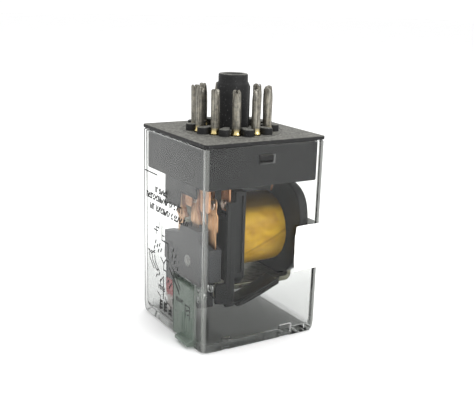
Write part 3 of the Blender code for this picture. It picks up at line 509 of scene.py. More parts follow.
MATERIALS = {
    "base": moulded(
        "dusty_black_phenolic", base=(0.011, 0.011, 0.0115), light=(0.02, 0.02, 0.02), rough=0.55,
        speck=0.5, wear=0.45, wear_colour=(0.13, 0.13, 0.125), dust_and_sheen=(0.165, 0.163, 0.146),
    ),
    "nylon": moulded(
        "black_nylon", base=(0.007, 0.0075, 0.008), light=(0.014, 0.0145, 0.015), rough=0.42,
        speck=0.05, wear=0.3, wear_colour=(0.07, 0.075, 0.075),
    ),
    "grey": moulded(
        "grey_thermoset", base=(0.036, 0.037, 0.04), light=(0.06, 0.061, 0.064), rough=0.5,
        speck=0.16, wear=0.35, wear_colour=(0.17, 0.17, 0.17), spec=0.3,
    ),
    "red": flag_material(),
    "pin": pin_material(),
    "tape": tape_material(),
    "winding": winding_material(),
    "copper": metal(
        "copper_strip", dark=(0.3, 0.13, 0.06), light=(0.72, 0.42, 0.25), rough=0.34, scale=1.4,
        stretch=(0.4, 1.0, 0.25), stain=(0.2, 0.085, 0.045), stained=0.5,
    ),
    "bronze": metal(
        "spring_bronze", dark=(0.33, 0.165, 0.075), light=(0.72, 0.46, 0.27), rough=0.32, scale=1.5,
        stretch=(0.4, 1.0, 0.2), stain=(0.25, 0.11, 0.05), stained=0.4,
    ),
    "braid": metal(
        "copper_braid", dark=(0.22, 0.09, 0.045), light=(0.62, 0.33, 0.19), rough=0.42, scale=3.0,
        stretch=(1.0, 1.0, 0.4), stain=(0.12, 0.05, 0.03), stained=0.5,
    ),
    "silver": metal(
        "silver_contact", dark=(0.33, 0.27, 0.22), light=(0.74, 0.68, 0.6), rough=0.26, scale=2.0,
        stain=(0.36, 0.17, 0.11), stained=0.65,
    ),
    "steel": metal(
        "yellow_zinc_steel", dark=(0.1, 0.1, 0.075), light=(0.3, 0.297, 0.235), rough=0.36,
        scale=1.0, stretch=(0.5, 0.5, 1.0), stain=(0.2, 0.18, 0.1), stained=0.35,
    ),
    "iron": metal(
        "soft_iron", dark=(0.16, 0.16, 0.15), light=(0.4, 0.4, 0.38), rough=0.34, scale=1.8,
        stain=(0.1, 0.085, 0.06), stained=0.4,
    ),
    "rivet": metal(
        "plated_rivet", dark=(0.14, 0.14, 0.135), light=(0.36, 0.36, 0.345), rough=0.26, scale=1.5,
        relief=0.1,
    ),
    "chrome": metal(
        "bright_spring_wire", dark=(0.62, 0.62, 0.62), light=(0.95, 0.95, 0.94), rough=0.09,
        scale=1.5, relief=0.08,
    ),
    "clear": clear_material(),
    "green": green_material(),
    "paper": paper_material(),
    "ink": ink_material(),
    "floor": floor_material(),
}


# ------------------------------------------------------------------ mesh helpers
def shade(mesh, angle):
    """Smooth shading, except that large level or upright faces stay truly flat."""
    mesh.shade_smooth()
    mesh.set_sharp_from_angle(angle=math.radians(angle))
    for face in mesh.polygons:
        if face.area > 12e-6 and max(abs(c) for c in face.normal) > 0.9995:
            face.use_smooth = False


def finish(name, shape, mat, smooth=32):
    """Turns a bmesh in millimetres into an object in metres; mat is a key of MATERIALS."""
    bmesh.ops.remove_doubles(shape, verts=shape.verts, dist=1e-5)
    bmesh.ops.recalc_face_normals(shape, faces=shape.faces)
    for vert in shape.verts:
        vert.co = vert.co * MM
    mesh = bpy.data.meshes.new(name)
    shape.to_mesh(mesh)
    shape.free()
    obj = bpy.data.objects.new(name, mesh)
    bpy.context.scene.collection.objects.link(obj)
    if mat:
        mesh.materials.append(MATERIALS[mat])
    if smooth:
        shade(mesh, smooth)
    return obj


def temp(shape, mat=None):
    """A passing object that a boolean uses up."""
    return finish("tool", shape, mat, None)


def box(x, y, z, into=None):
    shape = into or bmesh.new()
    size = Vector((x[1] - x[0], y[1] - y[0], z[1] - z[0]))
    middle = Vector((x[0] + x[1], y[0] + y[1], z[0] + z[1])) / 2
    matrix = Matrix.Translation(middle) @ Matrix.Diagonal((*size, 1.0))
    bmesh.ops.create_cube(shape, size=1.0, matrix=matrix)
    return shape


def lay(axis, u, v, along):
    """A point from its place along the axis and u, v on the other two axes, in their order."""
    return {"x": (along, u, v), "y": (u, along, v), "z": (u, v, along)}[axis]


def prism(points, axis, span, into=None):
    """An outline extruded along the axis over span."""
    shape = into or bmesh.new()
    face = shape.faces.new([shape.verts.new(lay(axis, u, v, span[0])) for u, v in points])
    grown = bmesh.ops.extrude_face_region(shape, geom=[face])["geom"]
    step = Vector(lay(axis, 0.0, 0.0, span[1] - span[0]))
    moved = [item for item in grown if isinstance(item, bmesh.types.BMVert)]
    bmesh.ops.translate(shape, vec=step, verts=moved)
    return shape


def turned(profile, axis, centre=(0, 0, 0), steps=32, into=None, closed=False):
    """A body of revolution; profile is (radius, place along the axis)."""
    shape = into or bmesh.new()
    rings = []
    for radius, along in profile:
        if radius < 1e-6:
            rings.append([shape.verts.new(Vector(centre) + Vector(lay(axis, 0.0, 0.0, along)))])
            continue
        ring = []
        for i in range(steps):
            turn = 2 * math.pi * i / steps
            spot = lay(axis, radius * math.cos(turn), radius * math.sin(turn), along)
            ring.append(shape.verts.new(Vector(centre) + Vector(spot)))
        rings.append(ring)
    following = rings[1:] + (rings[:1] if closed else [])
    for a, b in zip(rings, following):
        for i in range(steps):
            j = (i + 1) % steps
            face = []
            for vert in (a[i % len(a)], a[j % len(a)], b[j % len(b)], b[i % len(b)]):
                if vert not in face:
                    face.append(vert)
            shape.faces.new(face)
    return shape


def rod(radius, span, axis, centre=(0, 0, 0), steps=32):
    start, end = span
    return turned([(0, start), (radius, start), (radius, end), (0, end)], axis, centre, steps)


def chamfered_rod(radius, span, axis, centre, steps, chamfer=0.1):
    (start, end), slim = span, radius - chamfer
    profile = [(0, start), (slim, start), (radius, start + chamfer)]
    profile += [(radius, end - chamfer), (slim, end), (0, end)]
    return turned(profile, axis, centre, steps)


def loft(rings, into=None, closed=False):
    """Skin over rings of points; a closed loft joins the last ring to the first."""
    shape = into or bmesh.new()
    made = [[shape.verts.new(point) for point in ring] for ring in rings]
    count = len(made[0])
    for a, b in zip(made, made[1:] + (made[:1] if closed else [])):
        for i in range(count):
            j = (i + 1) % count
            shape.faces.new((a[i], a[j], b[j], b[i]))
    if not closed:
        shape.faces.new(made[0])
        shape.faces.new(made[-1])
    return shape


def tube(path, radius, sides, into=None):
    """Wire along a path; radius is a number or a function of the share of the path passed."""
    points = [Vector(point) for point in path]
    last = len(points) - 1
    normal = None
    rings = []
    for i, point in enumerate(points):
        along = (points[min(i + 1, last)] - points[max(i - 1, 0)]).normalized()
        if normal is None:
            normal = along.orthogonal().normalized()
        else:
            normal = (normal - along * normal.dot(along)).normalized()
        side = along.cross(normal)
        r = radius(i / last) if callable(radius) else radius
        turns = [2 * math.pi * k / sides for k in range(sides)]
        rings.append([point + r * (math.cos(a) * normal + math.sin(a) * side) for a in turns])
    return loft(rings, into)


def arc(centre, radius, angles):
    """Points on a circle at angles in degrees."""
    turns = [math.radians(angle) for angle in angles]
    return [(centre[0] + radius * math.cos(a), centre[1] + radius * math.sin(a)) for a in turns]


def rounded_square(half, radius, z, steps=8):
    points = []
    for sx, sy, start in ((1, 1, 0), (-1, 1, 90), (-1, -1, 180), (1, -1, 270)):
        centre = (sx * (half - radius), sy * (half - radius))
        points += arc(centre, radius, [start + 90 * k / steps for k in range(steps + 1)])
    return [(x, y, z) for x, y in points]


def catmull(points, steps):
    """Catmull-Rom curve through the points."""
    knots = [Vector(point) for point in points]
    knots = [2 * knots[0] - knots[1]] + knots + [2 * knots[-1] - knots[-2]]
    out = []
    for a, b, c, d in zip(knots, knots[1:], knots[2:], knots[3:]):
        for k in range(steps):
            t = k / steps
            square = (2 * a - 5 * b + 4 * c - d) * t * t
            cube = (3 * b - a - 3 * c + d) * t**3
            out.append(0.5 * (2 * b + (c - a) * t + square + cube))
    out.append(knots[-2])
    return out


def apply(obj, smooth=None):
    """Turns the modifiers into plain mesh."""
    graph = bpy.context.evaluated_depsgraph_get()
    mesh = bpy.data.meshes.new_from_object(obj.evaluated_get(graph))
    old = obj.data
    obj.modifiers.clear()
    obj.data = mesh
    mesh.name = old.name
    if smooth:
        shade(mesh, smooth)
    return obj


def rounded(shape, width, segments=2, angle=30, mat=None, name="tool"):
    """Finishes a shape and rounds its edges sharper than angle."""
    obj = finish(name, shape, mat, None)
    bevel = obj.modifiers.new("edge_radius", "BEVEL")
    bevel.width = width * MM
    bevel.segments = segments
    bevel.limit_method = "ANGLE"
    bevel.angle_limit = math.radians(angle)
    bevel.harden_normals = False
    return apply(obj, 32)


def boolean(obj, operation, others, smooth):
    for other in others:
        modifier = obj.modifiers.new("bool", "BOOLEAN")
        modifier.operation = operation
        modifier.solver = "EXACT"
        modifier.object = other
    apply(obj, smooth)
    for other in others:
        bpy.data.objects.remove(other, do_unlink=True)


def add(obj, *others, smooth=32):
    boolean(obj, "UNION", others, smooth)


def cut(obj, *others, smooth=32):
    boolean(obj, "DIFFERENCE", others, smooth)


def place(obj, body, slot, *nodes):
    """The piece moves with body and stands for the frame nodes, which it hides; slot is not used."""
    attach(obj, body)
    if nodes:
        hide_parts(*nodes)


# ------------------------------------------------------------------ base moulding
POST_PROFILE = [  # radius, z up the post from the collar round its foot
    (0, 54.4), (5.1, 54.4), (5.1, 55.25), (4.85, 55.5), (4.34, 55.62), (4.3, 55.9), (4.3, 60.0),
    (4.29, 64.0), (4.3, 67.2), (4.26, 67.4), (4.0, 67.78), (3.93, 67.95), (3.92, 69.1),
]
POST_HOLLOW = [  # radius, z over the post's rim and down its hole
    (3.1, 70.0), (2.85, 69.95), (2.62, 69.72), (2.42, 69.5), (2.4, 66.0), (2.3, 61.0), (0, 61.0),
]


def pin_centre(k):
    turn = 2 * math.pi * (k + 0.5) / PINS
    return PIN_CIRCLE_R * math.cos(turn), PIN_CIRCLE_R * math.sin(turn)


def skirt_teeth():
    outline = [(16.2, 51.2), (17.35, 51.2), (17.75, 50.7), (17.75, 49.85), (17.15, 49.3), (16.2, 49.3)]
    shape = bmesh.new()
    for side in (-1, 1):
        prism([(side * y, z) for y, z in outline], "x", (-2.0, 2.0), shape)
    return rounded(shape, 0.12, mat="base")


def barriers():
    """Radial blocks between the pins, with round outer ends."""
    round_centre, round_r = 11.1, 1.5
    outline = [(7.6, -0.8), (round_centre, -round_r)]
    outline += arc((round_centre, 0), round_r, range(-75, 76, 15))
    outline += [(round_centre, round_r), (7.6, 0.8)]
    shape = bmesh.new()
    for k in range(PINS):
        turn = Matrix.Rotation(2 * math.pi * k / PINS, 2)
        prism([tuple(turn @ Vector(point)) for point in outline], "z", (54.5, 56.8), shape)
    return rounded(shape, 0.3, segments=4, angle=40, mat="base")


def centre_post():
    """Hollow post with a slightly uneven surface."""
    lip = [math.radians(a) for a in (20, 45, 70, 90)]
    rim = [(3.92 - 0.42 * (1 - math.cos(a)), 69.5 + 0.5 * math.sin(a)) for a in lip]
    shape = turned(POST_PROFILE + rim + POST_HOLLOW, "z", steps=72)
    for vert in shape.verts:
        if vert.co.z > 55.8 and vert.co.xy.length > 2.0:
            at = vert.co * 0.8 + Vector((14.62, 6.34, 3.86))
            offsets = (Vector((0, 0, 0)), Vector((31.4, 0, 0)), Vector((0, 47.2, 0)))
            push = Vector([noise.noise(at + offset) for offset in offsets]) * 0.055
            vert.co += Vector((push.x, push.y, push.z * (0.6 if vert.co.z > 69 else 0.0)))
            vert.co.z = min(vert.co.z, POST_TOP)
    return temp(shape, "base")


def make_base():
    outline = [point[:2] for point in rounded_square(FLANGE_WIDTH / 2, 1.1, 0, 10)]
    base = rounded(
        prism(outline, "z", (54.0, 55.0)), 0.26, segments=3, mat="base", name="base_moulding"
    )
    # z, growth of the half width
    skirt = ((54.4, 0.0), (49.0, 0.0), (43.35, 0.0), (43.1, -0.06), (43.0, -0.22))
    hollow = ((42.0, 0.25), (43.2, 0.12), (43.8, 0.0), (51.6, 0.0), (51.8, -0.3))
    skirt_rings = [rounded_square(SKIRT_HALF + grow, 0.9, z) for z, grow in skirt]
    hollow_rings = [rounded_square(SKIRT_HALF - 1.0 + grow, 0.6, z) for z, grow in hollow]
    key_outline = [(3.4, 54.6), (5.0, 54.6), (5.0, 66.5), (4.4, 67.5), (3.4, 67.5)]
    key = rounded(prism(key_outline, "y", (-0.8, 0.8)), 0.18, segments=3, mat="base")
    add(base, temp(loft(skirt_rings), "base"), smooth=None)
    cut(base, temp(loft(hollow_rings)), smooth=None)
    add(base, skirt_teeth(), barriers(), centre_post(), key, smooth=None)
    bore, mouth = PIN_R + 0.3, PIN_R + 0.41
    hole = [(0, 49.5), (bore, 49.5), (bore, 54.8), (mouth, 55.1), (mouth, 57.4), (0, 57.4)]
    for k in range(PINS):
        cut(base, temp(turned(hole, "z", (*pin_centre(k), 0), steps=34)), smooth=None)
    # shallow ring groove outside the pins
    groove = [(13.35, 54.93), (13.35, 55.6), (13.6, 55.6), (13.6, 54.93)]
    cut(base, temp(turned(groove, "z", steps=96, closed=True)))
    place(base, BODY, "base_plastic", "base_block")


# ------------------------------------------------------------------ hollow pins
PIN_PROFILE = (  # radius, z: outside from the tail up, over the rim and down the hole
    [(0, PIN_TAIL_Z), (0.95, PIN_TAIL_Z), (1.12, PIN_TAIL_Z + 0.12), (PIN_R, PIN_TAIL_Z + 0.35)]
    + [(PIN_R, 54.6), (PIN_R, 55.14)]
    + [(1.3, 55.12), (1.41, 55.2), (1.43, 55.34), (1.36, 55.5), (1.24, 55.68), (1.19, 55.9)]
    + [(PIN_R, 56.6 + 0.8 * i) for i in range(10)]
    + [(PIN_R, 64.5 + 0.22 * i) for i in range(9)]
    + [(1.12, 66.42), (1.02, 66.6), (0.9, 66.72), (0.78, 66.74), (0.7, 66.6), (0.69, 66.3)]
    + [(0.72, 65.9), (0.78, 65.3), (0.83, 64.6), (0.84, 63.0), (0.84, 60.4), (0, 60.2)]
)


def make_pin(k, rng):
    """One pin with its own crimped, split tip, slight lean, bow and flattening."""
    shape = turned(PIN_PROFILE, "z", steps=40)
    lobes = rng.choice((3, 4, 4, 5))
    phase, depth = rng.uniform(0, 6.28), rng.uniform(0.35, 0.95)
    lean = Vector((rng.uniform(-1, 1), rng.uniform(-1, 1))) * 0.16
    bow = Vector((rng.uniform(-1, 1), rng.uniform(-1, 1))) * 0.1
    flat, flat_at = rng.uniform(0.02, 0.1), rng.uniform(0, 3.14)
    splits = [  # angle, width, depth
        (rng.uniform(0, 6.28), rng.uniform(0.18, 0.34), rng.uniform(0.35, 1.25))
        for _ in range(rng.choice((2, 3, 3)))
    ]
    for vert in shape.verts:
        x, y, z = vert.co
        radius, turn = math.hypot(x, y), math.atan2(y, x)
        if z > 63.0 and radius > 0.3:
            near_tip = min(1.0, max(0.0, (z - 63.6) / 2.8)) ** 1.6
            crimp = near_tip * (0.17 + 0.16 * math.cos(lobes * (turn + phase)))
            drop = 0.0
            for at, width, deep in splits:
                away = math.atan2(math.sin(turn - at), math.cos(turn - at))
                drop += deep * math.exp(-((away / width) ** 2))
            drop += 0.12 * depth * (1 + math.sin(3 * turn + phase))
            radius *= 1 - crimp
            z -= drop * near_tip
            if near_tip > 0.25:
                radius += 0.05 * noise.noise(Vector((x * 2.2, y * 2.2, z * 2.2 + k * 5)))
        if 56 < z < 64.5 and radius > 1.0:
            radius += 0.028 * noise.noise(Vector((x * 1.3 + k * 9, y * 1.3, z * 0.5)))
        flattening = flat * min(1.0, max(0.0, (z - 57) / 6))
        radius *= 1 - flattening * math.cos(2 * (turn - flat_at))
        rise = max(0.0, (z - 56) / 11)
        bend = lean * rise + bow * (4 * rise * (1 - rise))
        spot = (radius * math.cos(turn) + bend.x, radius * math.sin(turn) + bend.y, z)
        vert.co = Vector(spot)
    bmesh.ops.translate(shape, vec=Vector((*pin_centre(k), 0)), verts=shape.verts)
    pin = finish("contact_pin_%02d" % (k + 1), shape, "pin", 50)
    pin.color = (rng.random(), rng.random(), rng.random(), 1.0)
    place(pin, BODY, "pin_nickel", "pin_%02d" % (k + 1))


def make_pins():
    rng = random.Random(11)
    for k in range(PINS):
        make_pin(k, rng)


# ------------------------------------------------------------------ clear cover
COVER_RINGS = (  # z, inset from the outer wall, corner radius: up the outside, down the inside
    (0.0, 0.62, 1.9), (0.14, 0.34, 2.0), (0.42, 0.13, 2.0), (0.9, 0.04, 1.8), (1.8, 0.0, 1.5),
    (3.2, 0.0, COVER_CORNER_R), (14.0, 0.0, COVER_CORNER_R), (30.0, 0.0, COVER_CORNER_R),
    (45.0, 0.0, COVER_CORNER_R), (COVER_TOP - 0.2, 0.0, COVER_CORNER_R), (COVER_TOP, 0.18, 1.15),
    (COVER_TOP, 0.85, 0.8), (COVER_TOP - 0.2, 0.98, 0.7), (42.9, 1.02, 0.65), (34.0, 1.08, 0.6),
    (14.0, 1.18, 0.6), (3.0, 1.26, 0.65), (2.1, 1.45, 0.9), (1.72, 1.85, 1.2), (1.6, 2.5, 1.4),
)
COVER_NOTCHES = (  # x span, z span
    ((-12.0, -9.5), (0.75, 3.6)), ((-11.7, -9.8), (-1.5, 0.45)),
    ((6.0, 10.0), (0.75, 3.6)), ((6.3, 9.7), (-1.5, 0.45)),
)
EAR_OUTLINE = [  # x, z
    (-17.1, 13.3), (-15.75, 13.3), (-15.25, 13.8), (-15.1, 15.2), (-15.3, 16.6), (-15.85, 17.1),
    (-17.1, 17.1),
]


def make_cover():
    rings = [rounded_square(cover_half(z) - inset, r, z, 10) for z, inset, r in COVER_RINGS]
    cover = finish("clear_cover_shell", loft(rings), "clear", 28)
    windows = rounded(box(x=(-2.3, 2.3), y=(-20, 20), z=(49.0, 51.5)), 0.22, segments=3)
    slot = temp(box(x=(-20, -16.3), y=(LEVER_Y[0] - 0.3, LEVER_Y[1] + 0.3), z=(-1, 17.8)))
    # shallow rebates and deeper notches low in the -Y and +Y walls
    wall = cover_half(1.4)
    rebates, notches = bmesh.new(), bmesh.new()
    for side in (-1, 1):
        span = sorted((side * 20, side * (wall - 0.35)))
        box(x=(-14.3, 14.3), y=span, z=(-1, 2.7), into=rebates)
        span = sorted((side * 20.5, side * (wall - 0.85)))
        for across, up in COVER_NOTCHES:
            box(x=across, y=span, z=up, into=notches)
    # ears at the ends of the lever's hinge pin
    ears = bmesh.new()
    for span in (
        (LEVER_Y[0] - 1.8, LEVER_Y[0] - 0.5),
        (LEVER_Y[1] + 0.5, LEVER_Y[1] + 1.8),
    ):
        prism(EAR_OUTLINE, "y", span, ears)
    cut(cover, windows, slot, temp(rebates), temp(notches), smooth=None)
    add(cover, temp(ears), smooth=None)
    cut(cover, temp(rod(LEVER_BORE_R, (-16.5, 0.5), "y", LEVER_CENTRE, steps=24)), smooth=28)
    place(cover, BODY, "cover_clear", "clear_cover")


# ------------------------------------------------------------------ print on the -X wall
THIN = 0.36  # width of the finest strokes


class Print:
    """Inked strokes in y, z that lie just proud of the cover's -X wall."""

    def __init__(self):
        self.shape = bmesh.new()
        self.rng = random.Random(5)

    def stroke(self, y0, z0, y1, z1, width=THIN):
        along = Vector((y1 - y0, z1 - z0)).normalized()
        n = Vector((-along.y, along.x)) * width / 2
        e = along * width / 2
        outline = [
            (y0 - e.x + n.x, z0 - e.y + n.y), (y0 - e.x - n.x, z0 - e.y - n.y),
            (y1 + e.x - n.x, z1 + e.y - n.y), (y1 + e.x + n.x, z1 + e.y + n.y),
        ]
        new = self.shape.verts.new
        low = [new((-cover_half(z) - 0.006, y, z)) for y, z in outline]
        high = [new((-cover_half(z) - 0.03, y, z)) for y, z in outline]
        self.shape.faces.new(low)
        self.shape.faces.new(high)
        for i in range(4):
            j = (i + 1) % 4
            self.shape.faces.new((low[i], low[j], high[j], high[i]))

    def line(self, *points, width=THIN):
        for a, b in zip(points, points[1:]):
            self.stroke(*a, *b, width)

    def ticks(self, starts, step, width):
        """Equal short strokes, each from its start over step."""
        for y, z in starts:
            self.stroke(y, z, y + step[0], z + step[1], width)

    def greek(self, y, end, z, height, width=THIN):
        """A run of text-like ticks towards -Y that spell nothing."""
        while y > end:
            a, b = y, y - height * self.rng.uniform(0.32, 0.52)
            kind = self.rng.randrange(5)
            top, middle = z + height, (a + b) / 2
            strokes = (
                ((a, z, a, top), (b, z, b, z + height * 0.55)),
                ((a, z + height * 0.5, b, top), (a, z, b, z)),
                ((middle, z, middle, top),),
                ((a, z + height * 0.15, b, z + height * 0.85),),
                ((a, z, a, z + height * 0.6), (a, top, b, top)),
            )
            for ends in strokes[kind]:
                self.stroke(*ends, width)
            y = b - height * (0.85 if self.rng.random() < 0.16 else 0.28)


def print_diagram(ink):
    """Bare line work and ticks in the middle of the wall."""
    ink.line((7.4, 29.4), (7.4, 27.6), (9.2, 27.6), (9.2, 25.6))
    ink.line((5.6, 28.7), (5.6, 24.6), (1.8, 24.6), (1.8, 20.6))
    ink.line((4.3, 26.0), (5.6, 26.0))
    ink.line((10.6, 26.6), (8.2, 26.6))
    for y in (13.6, 11.9, 10.2):
        ink.line((y, 18.9), (y - 0.5, 17.2), (y - 3.0, 15.1))
        ink.stroke(y + 0.55, 19.7, y - 0.1, 19.7)
    ink.line((13.9, 19.6), (12.1, 19.0), (10.1, 20.4))
    starts = ((8.6, 21.9), (7.9, 20.6), (7.2, 22.5), (6.3, 21.2), (9.7, 22.8), (10.4, 21.0))
    ink.ticks(starts, step=(-0.4, 0.75), width=0.468)
    ink.line((6.2, 19.4), (4.4, 18.2), (4.4, 16.4), (2.8, 16.4))
    ink.line((4.4, 18.2), (3.2, 19.6), (1.6, 19.6))
    ink.line((1.0, 17.9), (-1.4, 16.3), (-4.6, 13.3))
    ink.line((0.2, 17.0), (-2.2, 15.0), (-5.0, 12.4))
    ink.line((-0.6, 18.6), (-2.2, 17.4), (-5.4, 14.0))
    starts = ((-0.6, 21.3), (-2.0, 20.2), (-2.6, 22.1), (-1.2, 23.4), (-3.6, 18.8))
    ink.ticks(starts, step=(-0.3, 0.8), width=0.432)
    starts = (
        (8.3, 15.1), (7.4, 14.0), (8.9, 13.2), (6.6, 12.4),
        (5.7, 13.1), (1.9, 13.6), (1.0, 12.2), (0.2, 13.2),
    )
    ink.ticks(starts, step=(-0.4, 0.6), width=0.45)
    ink.line((4.6, 14.2), (4.6, 8.0), width=0.468)
    ink.line((6.0, 10.9), (6.6, 12.6))
    ink.line((8.1, 8.8), (6.6, 8.0))
    ink.line((3.4, 8.6), (2.6, 7.4), (1.4, 7.4))


def print_foot(ink):
    """Larger marks and a small box near the closed end."""
    for y, bars in ((5.9, 3), (3.2, 3), (0.4, 2), (-3.3, 3), (-6.0, 2)):
        for i in range(bars):
            z = 4.6 + i * 0.95
            ink.stroke(y + 0.75 - 0.15 * i, z, y - 0.55, z + 0.35, 0.684)
        low, high = (0.7, 0.6) if bars == 3 else (-0.5, -0.5)
        ink.stroke(y + low, 4.5, y + high, 6.9, 0.648)
    ink.line((-8.4, 5.3), (-10.9, 5.3), (-10.9, 10.7), (-8.4, 10.7), (-8.4, 5.3))
    ink.ticks([(-9.0, z) for z in (6.6, 7.9, 9.2)], step=(-1.3, 0.5), width=0.396)


def make_print():
    ink = Print()
    for i in range(11):  # dashed rule
        y = 16.2 - 0.72 * i
        ink.stroke(y, 42.25, y - 0.34, 42.25)
    ink.greek(9.8, 2.6, z=37.5, height=1.15, width=0.432)
    ink.greek(15.2, -6.6, z=35.1, height=1.3, width=0.468)
    ink.greek(13.0, -9.0, z=32.2, height=1.3, width=0.486)
    print_diagram(ink)
    ink.greek(7.4, 3.6, z=10.2, height=0.9)
    print_foot(ink)
    ink.greek(-3.4, -7.8, z=10.4, height=0.9)
    place(finish("cover_print", ink.shape, "ink", None), BODY, "base_plastic")


# ------------------------------------------------------------------ paper seal
SEAL_Z = (18.8, 31.3)
SEAL_X, SEAL_Y = 9.6, -9.5  # ends on the -Y wall and on the +X wall
SEAL_ROWS = 26
SEAL_THICKNESS = 0.12


def seal_path(half):
    """x, y and outward direction along the -Y wall, round the edge and along the +X wall."""
    r = COVER_CORNER_R
    path = [(SEAL_X + (half - r - SEAL_X) * k / 14, -half, (0, -1)) for k in range(15)]
    for k in range(1, 12):
        turn = math.radians(-90 + 90 * k / 12)
        out = (math.cos(turn), math.sin(turn))
        path.append((half - r + r * out[0], -half + r + r * out[1], out))
    path += [(half, -half + r + (SEAL_Y + half - r) * k / 14, (1, 0)) for k in range(15)]
    return path


def seal_row(i):
    """Wall point, outward direction and lift of each point of a row."""
    z = SEAL_Z[0] + (SEAL_Z[1] - SEAL_Z[0]) * i / SEAL_ROWS
    path = seal_path(cover_half(z))
    row = []
    for j, (x, y, out) in enumerate(path):
        s, t = j / (len(path) - 1), i / SEAL_ROWS
        from_side, from_end = min(s, 1 - s), min(t, 1 - t)
        rim = max(0.0, 1 - from_side * 14) * 0.1 + max(0.0, 1 - from_end * 9) * 0.05
        corner = max(0.0, 1 - (from_side * 7 + from_end * 4)) * 0.34
        crease = 0.035 * noise.noise(Vector((x * 0.5, y * 0.5, z * 0.28)))
        crease += 0.018 * noise.noise(Vector((x * 1.6, y * 1.6, z * 1.2)))
        curl = rim * (0.6 + noise.noise(Vector((x, y, z)) * 0.7))
        lift = 0.1 + curl + corner + max(-0.03, crease)
        ragged = 0.07 * noise.noise(Vector((x * 2.0, y * 2.0, t * 3.0)))
        height = z + (ragged if i in (0, SEAL_ROWS) else 0.0)
        row.append((Vector((x, y, height)), Vector((*out, 0.0)), lift))
    return row


def make_seal():
    """Seal wrapped round the upright edge between the +X and -Y walls."""
    grid = [seal_row(i) for i in range(SEAL_ROWS + 1)]
    shape = bmesh.new()
    new, face = shape.verts.new, shape.faces.new
    inner = [[new(p + out * lift) for p, out, lift in row] for row in grid]
    outer = [[new(p + out * (lift + SEAL_THICKNESS)) for p, out, lift in row] for row in grid]
    rows, columns = len(grid), len(grid[0])
    for i in range(rows - 1):
        for j in range(columns - 1):
            face((inner[i][j], inner[i][j + 1], inner[i + 1][j + 1], inner[i + 1][j]))
            face((outer[i][j], outer[i + 1][j], outer[i + 1][j + 1], outer[i][j + 1]))
    for i in range(rows - 1):
        for j in (0, columns - 1):
            face((inner[i][j], inner[i + 1][j], outer[i + 1][j], outer[i][j]))
    for j in range(columns - 1):
        for i in (0, rows - 1):
            face((inner[i][j], inner[i][j + 1], outer[i][j + 1], outer[i][j]))
    place(finish("paper_seal", shape, "paper", 50), BODY, "paper_seal", "seal_sticker")


# ------------------------------------------------------------------ support frame
def rail_piece(points, low, high, y, radius, name="tool"):
    """A strip along the rail's path from low to high above it."""
    outline = [(p.x, p.y + low) for p in points] + [(p.x, p.y + high) for p in reversed(points)]
    return rounded(prism(outline, "y", y), radius, angle=50, mat="nylon", name=name)


def frame_posts():
    shape = box(x=(-9.9, -7.4), y=(-15.4, -14.2), z=(11.0, 39.2))
    box(x=(-9.9, -7.4), y=(14.2, 15.4), z=(11.0, 24.0), into=shape)
    box(x=(-9.3, -7.8), y=(-15.05, -14.6), z=(36.0, 49.0), into=shape)
    return rounded(shape, 0.18, segments=3, mat="nylon")


def make_frame():
    path = catmull(RAIL_PATH, 12)
    rear = [p for p in path if p.x >= -9.9]
    inner = [p for p in path if p.x >= -6.4]
    near, far = RAIL_Y
    # the -Y rail has a bead along its lower and upper edges and a thinner web between them
    rail = rail_piece(path, 0.0, 2.0, (-far + 0.22, -near), 0.16, "coil_support_frame")
    bead_y = (-far, -near - 0.4)
    cheek = [(-12.9, 12.4), (-7.6, 11.4), (-7.6, 17.6), (-12.2, 17.6), (-12.9, 17.0)]
    bracket = [(-14.3, 3.8), (-3.7, 3.8), (-3.7, 11.2), (-5.9, 11.2), (-5.9, 6.6), (-14.3, 6.6)]
    add(
        rail,
        rail_piece(path, 0.0, 0.6, bead_y, 0.13),
        rail_piece(path, 1.45, 2.0, bead_y, 0.13),
        frame_posts(),
        rounded(prism(cheek, "y", (-far + 0.15, -near)), 0.14, mat="nylon"),
        rounded(box(x=(-8.95, -8.45), y=(-15.5, -15.2), z=(14.0, 38.4)), 0.1, mat="nylon"),
        rail_piece(rear, 0.0, 2.0, RAIL_Y, 0.2),
        rail_piece(inner, 0.1, 1.1, (-far + 0.25, -9.0), 0.12),
        rail_piece(inner, 0.1, 1.1, (9.0, far - 0.25), 0.12),
        rounded(box(x=(-6.2, -3.4), y=(-14.8, 14.8), z=(10.55, 12.15)), 0.2, mat="nylon"),
        rounded(
            prism(bracket, "y", (FLAG_Y - 1.4, FLAG_Y + 1.4)), 0.25, segments=3, mat="nylon"
        ),
        smooth=None,
    )
    cut(rail, temp(rod(0.6, (-16.0, -11.8), "x", FLAG_CENTRE, steps=24)))
    place(rail, BODY, "frame_plastic", "support_frame")


# ------------------------------------------------------------------ bobbin, winding and film
def far_flange():
    """The flange at +X: an oval that is squarer in its upper half."""
    outline = []
    for k in range(180):
        turn = 2 * math.pi * k / 180
        c, s = math.cos(turn), math.sin(turn)
        power = 2.0 + 1.6 * min(1.0, max(0.0, s * 3.0 + 0.25))
        reach = (abs(c) ** power + abs(s) ** power) ** (-1 / power)
        tall = 14.1 if s > 0 else 14.6
        outline.append((15.7 * reach * c, 27.5 + tall * reach * s))
    return rounded(prism(outline, "x", (12.6, 15.3)), 0.4, segments=4, angle=50, mat="nylon")


